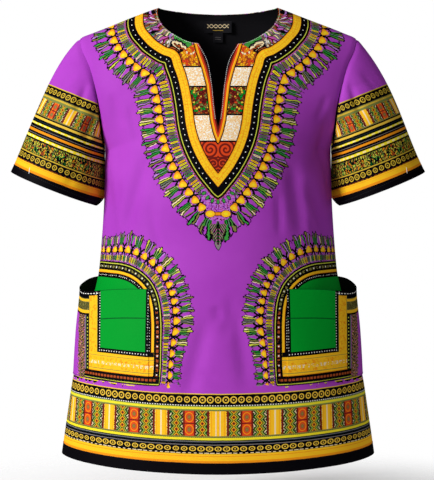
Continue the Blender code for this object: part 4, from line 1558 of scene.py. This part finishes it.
def boundary_edges(faces: np.ndarray) -> np.ndarray:
    """Return the directed edges that only one face has."""
    starts = faces.reshape(-1)
    ends = np.roll(faces, -1, axis=1).reshape(-1)
    size = int(faces.max()) + 1
    forward = starts.astype(np.int64) * size + ends
    backward = ends.astype(np.int64) * size + starts
    alone = ~np.isin(forward, backward)
    return np.stack([starts[alone], ends[alone]], axis=1)


def make_mesh(name: str, points: np.ndarray, faces: np.ndarray) -> bpy.types.Object:
    """Return an object at the origin from points in millimetres and quads."""
    mesh = bpy.data.meshes.new(name)
    mesh.from_pydata((points * MM).tolist(), [], faces.tolist())
    mesh.shade_smooth()
    mesh.set_sharp_from_angle(angle=math.radians(50.0))
    item = bpy.data.objects.new(name, mesh)
    bpy.context.scene.collection.objects.link(item)
    return item


def declare(item: bpy.types.Object, name: str, width: float, length: float,
            **more: object) -> None:
    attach(item, "root")
    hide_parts(name)
    LOG.info("%s: flat %.0f x %.0f mm", name, width, length)


def cloth_shell(name: str, outer: np.ndarray, normals: np.ndarray, faces: np.ndarray,
                fields: Dict[str, np.ndarray], printed: bpy.types.Material,
                lining: bpy.types.Material) -> bpy.types.Object:
    """Build a closed thin shell whose outside is printed and whose inside is dark.

    The inside is the outside moved in by the cloth's thickness, and a rim
    follows each edge that only one face has.

    Args:
        name: The object's name.
        outer: The outside points, in millimetres.
        normals: The outward normals.
        faces: The outside quads.
        fields: Numbers for each outside point.
        printed: The outside's material.
        lining: The inside's material.

    Returns:
        The object.
    """
    used = np.unique(faces)
    renumber = np.full(len(outer), -1)
    renumber[used] = np.arange(len(used))
    outer, normals, faces = outer[used], normals[used], renumber[faces]
    inner = outer - unit(normals) * SHELL
    count = len(outer)
    edges = boundary_edges(faces)
    rim = np.stack([edges[:, 1], edges[:, 0], edges[:, 0] + count, edges[:, 1] + count], axis=1)
    every = np.concatenate([faces, faces[:, ::-1] + count, rim])
    points = np.concatenate([outer, inner])
    first = np.cross(outer[faces[:, 1]] - outer[faces[:, 0]], outer[faces[:, 3]] - outer[faces[:, 0]])
    if np.sum(first * normals[faces[:, 0]]) < 0.0:
        every = every[:, ::-1]
    item = make_mesh(name, points, every)
    mesh = item.data
    mesh.materials.append(printed)
    mesh.materials.append(lining)
    slots = np.ones(len(every), dtype=np.int32)
    slots[:len(faces)] = 0
    slots[2 * len(faces):] = 0
    mesh.polygons.foreach_set("material_index", slots)
    for key, values in fields.items():
        attribute = mesh.attributes.new(key, "FLOAT", "POINT")
        flat = values.reshape(-1)[used]
        attribute.data.foreach_set("value", np.concatenate([flat, flat]).astype(np.float32))
    return item


@dataclass
class BodyPanels:
    """The front and the back.

    Attributes:
        form: The shirt's form.
        lining: The inside's material.
    """

    form: ShirtForm
    lining: bpy.types.Material

    def build(self) -> List[bpy.types.Object]:
        """Build and declare both panels."""
        made = []
        for side, name in ((Side.FRONT, "front"), (Side.BACK, "back")):
            finish = PrintedCotton(f"{name}_print", neck=True, slit=side is Side.FRONT, arch=True,
                                   hem=HEM_PLAIN, bands=HEM_BANDS)
            left = self.form.body_panel(side, False)
            right = self.form.body_panel(side, True)
            item = self._shell(f"{name}_cloth", left, right, finish.make())
            width = 2.0 * float(left.fields["band_a"].max())
            length = float(left.fields["band_t"].max())
            area = left.cloth_area() + right.cloth_area()
            declare(item, name, width, length, area=round(area, 4))
            made.append(item)
        return made

    def _shell(self, name: str, left: Panel, right: Panel,
               printed: bpy.types.Material) -> bpy.types.Object:
        """Join the two halves along the middle and build the shell."""
        rows, columns = left.points.shape[:2]
        left_ids = np.arange(rows * columns).reshape(rows, columns)
        right_ids = left_ids + rows * columns
        on_middle = np.abs(left.points[:, 0, 0]) < ON_MIDDLE
        right_ids[on_middle, 0] = left_ids[on_middle, 0]
        faces = quads(rows, columns, False)
        both = np.concatenate([left_ids.reshape(-1)[faces], right_ids.reshape(-1)[faces][:, ::-1]])
        points = np.concatenate([left.points.reshape(-1, 3), right.points.reshape(-1, 3)])
        normals = np.concatenate([left.normals.reshape(-1, 3), right.normals.reshape(-1, 3)])
        fields = {key: np.concatenate([left.fields[key].reshape(-1), right.fields[key].reshape(-1)])
                  for key in left.fields}
        return cloth_shell(name, points, normals, both, fields, printed, self.lining)


@dataclass
class Sleeves:
    """The two sleeves.

    Attributes:
        form: The shirt's form.
        lining: The inside's material.
    """

    form: ShirtForm
    lining: bpy.types.Material

    def build(self) -> List[bpy.types.Object]:
        """Build and declare both sleeves."""
        made = []
        printed = PrintedCotton("sleeve_print", hem=CUFF_PLAIN, bands=CUFF_BANDS,
                               reach=CUFF_REACH).make()
        for mirror, name in ((False, "sleeve_left"), (True, "sleeve_right")):
            panel = self.form.sleeve(mirror)
            item = panel.shell(f"{name}_cloth", True, printed, self.lining)
            ring = np.concatenate([panel.points, panel.points[:, :1]], axis=1)
            width = float(lengths_along(ring, 1)[:, -1].max())
            length = float(panel.fields["band_t"].max())
            area = Panel(ring, ring).cloth_area()
            declare(item, name, width, length, area=round(area, 4))
            made.append(item)
        return made


@dataclass
class Pockets:
    """The two patch pockets.

    Attributes:
        form: The shirt's form.
        lining: The inside's material.
    """

    form: ShirtForm
    lining: bpy.types.Material

    def build(self) -> List[bpy.types.Object]:
        """Build and declare both pockets."""
        made = []
        printed = PrintedCotton("pocket_print", arch=True, pocket=True).make()
        for mirror, name in ((False, "pocket_left"), (True, "pocket_right")):
            panel = self.form.pocket(mirror)
            item = panel.shell(f"{name}_cloth", False, printed, self.lining)
            width = float(lengths_along(panel.points, 1)[:, -1].max())
            length = float(lengths_along(panel.points, 0)[-1].max())
            declare(item, name, width, length, area=round(panel.cloth_area(), 4),
                    rests_on=["front_cloth", "back_cloth"])
            made.append(item)
        return made


@dataclass(frozen=True)
class WovenLabel:
    """Black woven satin with a gold braid of two waves and a line below it.

    Attributes:
        name: The material's name.
        width: The label's width, in millimetres.
        top: The height of its upper edge; not used.
        height: Its own height.
        marked: Whether it carries the braid.
    """

    name: str
    width: float
    top: float
    height: float
    marked: bool = True

    def make(self) -> bpy.types.Material:
        """Return the material."""
        paint = Paint(self.name)
        across, down = paint.field("label_a"), paint.field("label_t")
        rib = (down / 0.45).saw(1.0).absolute() * 2.0
        colour = paint.mix(BLACK, (0.022, 0.021, 0.026), rib)
        if self.marked:
            swing = (across / 2.4).sine() * 2.9
            level = down - self.height * 0.42
            braid = (level - swing).absolute().minimum((level + swing).absolute()) < 0.75
            colour = paint.mix(colour, CREAM, braid * (across.absolute() < 18.8))
            line = (down - self.height * 0.78).absolute() < 0.4
            colour = paint.mix(colour, STRAW, line * (across.absolute() < 9.0))
        else:
            bar = (down - self.height * 0.55).absolute().within(1.4, 2.0)
            colour = paint.mix(colour, GREY, bar * (across.absolute() < self.width * 0.3))
        bump = paint.node("ShaderNodeBump", None, {
            "Strength": 0.3, "Distance": 0.0002, "Height": rib})
        shader = paint.node("ShaderNodeBsdfPrincipled", None, {
            "Base Color": colour, "Roughness": 0.42, "Normal": bump, "Specular IOR Level": 0.3})
        return paint.finish(shader)


@dataclass
class NeckLabels:
    """The woven label inside the back of the neck and the tab below it.

    Attributes:
        form: The shirt's form.
        label_width: The label's width.
        label_height: Its height.
        label_top: How far below the neck's edge it starts.
        tab_width: The tab's width.
        tab_height: The tab's height.
        bend: How far the label's ends come forward.
        cloth: The thickness of the panel that carries it.
        gap: The space between layers.
    """

    form: ShirtForm
    label_width: float = 47.0
    label_height: float = 21.0
    label_top: float = 11.0
    tab_width: float = 17.0
    tab_height: float = 17.0
    bend: float = 2.2
    cloth: float = 1.5
    gap: float = 0.3

    def build(self) -> List[bpy.types.Object]:
        rows = (("neck_label", self.label_width, self.label_top, self.label_height, True),
                ("size_tab", self.tab_width, self.label_top + self.label_height + self.gap,
                 self.tab_height, False))
        return [self._sheet(*row) for row in rows]

    def _sheet(self, name: str, width: float, top: float, height: float,
               marked: bool) -> bpy.types.Object:
        """Build one label: the back's centre line, moved in and bent forward at its ends."""
        centre = np.asarray(self.form.back_centre)
        total = np.sum(np.linalg.norm(np.diff(centre, axis=0), axis=1))
        down = np.linspace(0.0, height, 25)
        line = along_curve(centre, (top + down) / total)
        slope = unit(np.gradient(line, axis=0))
        inward = np.stack([slope[:, 0], slope[:, 2], -slope[:, 1]], axis=1)
        across = np.linspace(-width / 2, width / 2, 41)
        sheet = line[:, None, :] + inward[:, None, :] * (self.cloth + 4 * self.gap + 0.9)
        sheet = np.repeat(sheet, len(across), axis=1)
        sheet[..., 0] = across
        part = (width / self.label_width) ** 2
        sheet[..., 1] -= (across / (width / 2)) ** 2 * self.bend * part
        curl = 0.35 * np.sin(across / 5.0 + 0.6) * (down / height)[:, None]
        sheet[..., 1] += curl
        fields = {"label_a": np.repeat(across[None, :], len(down), axis=0),
                  "label_t": np.repeat(down[:, None], len(across), axis=1)}
        normals = np.repeat(inward[:, None, :], len(across), axis=1)
        finish = WovenLabel(f"{name}_weave", width, top, height, marked).make()
        item = cloth_shell(f"{name}_cloth", sheet.reshape(-1, 3), normals.reshape(-1, 3),
                           quads(len(down), len(across), False), fields, finish, finish)
        declare(item, name, width, height)
        return item


@dataclass
class Sewing:
    """Rows of stitches and the white bar tacks.

    Attributes:
        form: The shirt's form.
        pitch: The distance from stitch to stitch.
        length: A stitch's length.
        width: A stitch's width.
        height: How far a stitch stands up.
        inset: How far from an edge a row runs.
    """

    form: ShirtForm
    pitch: float = 3.5
    length: float = 2.3
    width: float = 0.62
    height: float = 0.42
    inset: float = 1.9

    def build(self) -> List[bpy.types.Object]:
        """Build the light rows, the dark rows and the tacks."""
        light, dark = self._rows()
        made = []
        thread = PlainCloth("white_thread", (0.85, 0.84, 0.80), 0.6).make()
        black = PlainCloth("black_thread", (0.012, 0.011, 0.014), 0.6).make()
        for name, rows, finish in (("neck_stitches", light, thread), ("edge_stitches", dark, black)):
            made.append(self._joined(name, [self._spread(*row) for row in rows], finish))
        made.append(self._joined("bar_tacks", self._tacks(), thread))
        return made

    def _rows(self) -> Tuple[List, List]:
        """Return the light and the dark rows, each as points and normals."""
        light, dark = [], []
        yoke_end = (self.form.yoke_rows - 1) * self.form.fine
        for side in Side:
            for mirror in (False, True):
                panel = self.form.body_panel(side, mirror)
                neck_rows = self.form.back_neck_rows * self.form.fine
                last = yoke_end - 3 if side is Side.FRONT else neck_rows
                light.append(self._beside(panel, slice(0, last), 0, 1))
                dark.append((panel.points[-4], panel.normals[-4]))
        for mirror in (False, True):
            sleeve = self.form.sleeve(mirror)
            ring = np.concatenate([sleeve.points[-3], sleeve.points[-3, :1]])
            dark.append((ring, np.concatenate([sleeve.normals[-3], sleeve.normals[-3, :1]])))
            pocket = self.form.pocket(mirror)
            dark.append(self._beside(pocket, slice(2, -10), 0, 1))
            dark.append(self._beside(pocket, slice(2, None), -1, -2))
            foot = unit(pocket.points[-2] - pocket.points[-1]) * self.inset
            dark.append((pocket.points[-1] + foot, pocket.normals[-1]))
        return light, dark

    def _beside(self, panel: Panel, rows: slice, edge: int, near: int) -> Tuple[np.ndarray, np.ndarray]:
        """Return a line that runs beside an edge column, and its normals."""
        aside = unit(panel.points[rows, near] - panel.points[rows, edge])
        return panel.points[rows, edge] + aside * self.inset, panel.normals[rows, edge]

    def _spread(self, line: np.ndarray, normals: np.ndarray) -> np.ndarray:
        """Return stitches at even steps along a line, each as an array of 12 corners."""
        length = np.concatenate([[0.0], np.cumsum(np.linalg.norm(np.diff(line, axis=0), axis=1))])
        count = max(int(length[-1] / self.pitch), 2)
        at = (np.arange(count) + 0.5) * length[-1] / count
        middle = np.stack([np.interp(at, length, line[:, axis]) for axis in range(3)], axis=1)
        ahead = np.stack([np.interp(at + 0.5, length, line[:, axis]) for axis in range(3)], axis=1)
        behind = np.stack([np.interp(at - 0.5, length, line[:, axis]) for axis in range(3)], axis=1)
        up = np.stack([np.interp(at, length, normals[:, axis]) for axis in range(3)], axis=1)
        return self._stitches(middle, unit(ahead - behind), unit(up), self.length)

    def _stitches(self, middle: np.ndarray, run: np.ndarray, up: np.ndarray,
                  length: float) -> np.ndarray:
        """Return stitches as three four-sided rings each, narrow at both ends."""
        aside = np.cross(up, run)
        corners = np.array([
            (place * length / 2, side * self.width / 2 * share, rise * self.height * lift)
            for place, share, lift in ((-1.0, 0.45, 0.4), (0.0, 1.0, 1.0), (1.0, 0.45, 0.4))
            for side, rise in ((-1.0, -0.35), (1.0, -0.35), (1.0, 1.0), (-1.0, 1.0))])
        return (middle[:, None] + corners[:, 0:1] * run[:, None] + corners[:, 1:2] * aside[:, None]
                + corners[:, 2:3] * up[:, None])

    def _tacks(self) -> List[np.ndarray]:
        """Return the bar tacks: a long stitch with short ones across it."""
        made = []
        for mirror in (False, True):
            sign = -1.0 if mirror else 1.0
            sleeve, pocket = self.form.sleeve(mirror), self.form.pocket(mirror)
            spots = ((sleeve, 311.5 * sign, -277.5, 10.0), (pocket, 197.0 * sign, -477.5, 6.5))
            for panel, x, z, length in spots:
                ahead = panel.points[..., 1] < 0.0
                away = np.hypot(panel.points[..., 0] - x, panel.points[..., 2] - z)
                spot = np.unravel_index(np.argmin(np.where(ahead, away, 1e9)), away.shape)
                middle, up = panel.points[spot], unit(panel.normals[spot])
                run = unit(np.cross(np.cross(up, (0.0, 0.0, 1.0)), up))
                made.append(self._stitches(middle[None], run[None], up[None], length))
                steps = np.linspace(-0.42, 0.42, 6)[:, None] * length * run
                cross = np.repeat(unit(np.cross(up, run))[None], 6, axis=0)
                made.append(self._stitches(middle + steps, cross, np.repeat(up[None], 6, axis=0), 2.1))
        return made

    @staticmethod
    def _joined(name: str, groups: List[np.ndarray], finish: bpy.types.Material) -> bpy.types.Object:
        """Join stitches in one mesh."""
        corners = np.concatenate(groups)
        ring = np.arange(4)
        sides = [np.stack([ring + base, (ring + 1) % 4 + base, (ring + 1) % 4 + base + 4,
                           ring + base + 4], axis=1) for base in (0, 4)]
        faces = np.concatenate(sides + [np.array([[3, 2, 1, 0], [8, 9, 10, 11]])])
        every = (faces[None] + np.arange(len(corners))[:, None, None] * 12).reshape(-1, 4)
        item = make_mesh(name, corners.reshape(-1, 3), every)
        item.data.materials.append(finish)
        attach(item, "root")
        return item


@dataclass
class Studio:
    """The camera, the lights and the floor.

    Attributes:
        distance: How far the lens is from the shirt's middle plane.
        scale: Millimetres for each pixel at that plane.
        middle_x: The shirt's middle in the picture, in pixels.
        centre_z: The height that the lens looks at.
    """

    distance: float = 2.2
    scale: float = 1.688
    middle_x: float = 218.0
    centre_z: float = -0.3916

    def build(self) -> None:
        """Build the whole studio."""
        self._camera()
        self._light("key", (-2.4, -1.95, 0.9), (0.0, 0.0, -0.35), 0.9, 112.0)
        self._light("front_fill", (-0.4, -3.0, 0.3), (0.0, 0.0, -0.4), 1.6, 9.0)
        self._light("far_side", (2.4, 0.2, -0.1), (0.0, 0.0, -0.4), 1.2, 4.0)
        self._light("behind", (-0.9, 2.5, 0.9), (0.0, 0.0, -0.3), 1.4, 44.0)
        self._air()
        self._floor()
        bpy.context.scene.view_settings.view_transform = "Standard"

    @staticmethod
    def _air() -> None:
        """Fill the studio with a soft even light in front of a white backdrop."""
        world = bpy.data.worlds.new("studio_air")
        world.use_nodes = True
        tree = world.node_tree
        tree.nodes.clear()
        path = tree.nodes.new("ShaderNodeLightPath")
        soft = tree.nodes.new("ShaderNodeBackground")
        dull = tree.nodes.new("ShaderNodeMath")
        dull.operation = "MULTIPLY"
        dull.inputs[1].default_value = 0.2
        tree.links.new(path.outputs["Is Diffuse Ray"], dull.inputs[0])
        tree.links.new(dull.outputs[0], soft.inputs[1])
        white = tree.nodes.new("ShaderNodeBackground")
        white.inputs[0].default_value = (1.0, 1.0, 1.0, 1.0)
        soft.inputs[0].default_value = (1.0, 1.0, 1.0, 1.0)
        both = tree.nodes.new("ShaderNodeMixShader")
        result = tree.nodes.new("ShaderNodeOutputWorld")
        tree.links.new(path.outputs["Is Camera Ray"], both.inputs[0])
        tree.links.new(soft.outputs[0], both.inputs[1])
        tree.links.new(white.outputs[0], both.inputs[2])
        tree.links.new(both.outputs[0], result.inputs[0])
        bpy.context.scene.world = world

    def _camera(self) -> None:
        """Place a level camera whose frame matches the picture's."""
        data = bpy.data.cameras.new("studio_camera")
        data.sensor_fit = "VERTICAL"
        data.sensor_height = 24.0
        data.lens = 24.0 * self.distance / (IMAGE_HEIGHT * self.scale * MM)
        data.clip_end = 50.0
        item = bpy.data.objects.new("studio_camera", data)
        shift = (IMAGE_WIDTH / 2 - self.middle_x) * self.scale * MM
        item.location = (shift, -self.distance, self.centre_z)
        item.rotation_euler = (math.pi / 2, 0.0, 0.0)
        bpy.context.scene.collection.objects.link(item)
        bpy.context.scene.camera = item

    @staticmethod
    def _light(name: str, place: Tuple[float, float, float], aim: Tuple[float, float, float],
               size: float, power: float) -> None:
        """Place one square soft light, aimed at a point."""
        data = bpy.data.lights.new(name, "AREA")
        data.size = size
        data.energy = power
        item = bpy.data.objects.new(name, data)
        item.location = place
        item.visible_glossy = name == "key"
        gaze = np.array(aim) - np.array(place)
        flat = math.hypot(gaze[0], gaze[1])
        item.rotation_euler = (math.pi / 2 + math.atan2(gaze[2], flat), 0.0,
                               math.atan2(gaze[1], gaze[0]) - math.pi / 2)
        bpy.context.scene.collection.objects.link(item)

    @staticmethod
    def _floor() -> None:
        """Build a round pale floor that fades out at its edge."""
        steps, rings = 96, 12
        angle = np.linspace(0.0, 2.0 * math.pi, steps, endpoint=False)
        radius = np.linspace(20.0, 1150.0, rings)
        x = radius[:, None] * np.cos(angle)
        y = radius[:, None] * np.sin(angle)
        ring = np.stack([x, y, np.full_like(x, FLOOR)], axis=-1).reshape(-1, 3)
        points = np.concatenate([ring, [[0.0, 0.0, FLOOR]]])
        hub = np.full(steps, len(points) - 1)
        start = np.arange(steps)
        fan = np.stack([hub, start, (start + 1) % steps, hub], axis=1)[:, :3]
        faces = quads(rings, steps, True)[:, ::-1].tolist() + fan.tolist()
        mesh = bpy.data.meshes.new("floor")
        mesh.from_pydata((points * MM).tolist(), [], faces)
        item = bpy.data.objects.new("floor", mesh)
        bpy.context.scene.collection.objects.link(item)
        paint = Paint("pale_floor")
        place = paint.node("ShaderNodeTexCoord", output=3)
        away = paint.node("ShaderNodeVectorMath", {"operation": "DISTANCE"},
                          [place, (0.0, 0.0, FLOOR * MM)], 1)
        fade = paint.node("ShaderNodeMapRange", {"interpolation_type": "SMOOTHSTEP"}, {
            "Value": away, "From Min": 0.30, "From Max": 0.80})
        plain = paint.node("ShaderNodeBsdfDiffuse", None, {"Color": (0.93, 0.93, 0.93, 1.0)})
        clear = paint.node("ShaderNodeBsdfTransparent")
        mesh.materials.append(paint.finish(paint.node("ShaderNodeMixShader", None,
                                                      [fade, plain, clear])))


def main() -> None:
    """Build the studio and each group of pieces in order."""
    logging.basicConfig(level=logging.INFO, format="%(name)s: %(message)s")
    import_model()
    Studio().build()
    form = ShirtForm()
    lining = PlainCloth("black_inside", BLACK, 0.85).make()
    for group in (BodyPanels(form, lining), Sleeves(form, lining), Pockets(form, lining),
                  NeckLabels(form), Sewing(form)):
        for piece in group.build():
            LOG.info("built %s", piece.name)


if __name__ == "__main__":
    main()
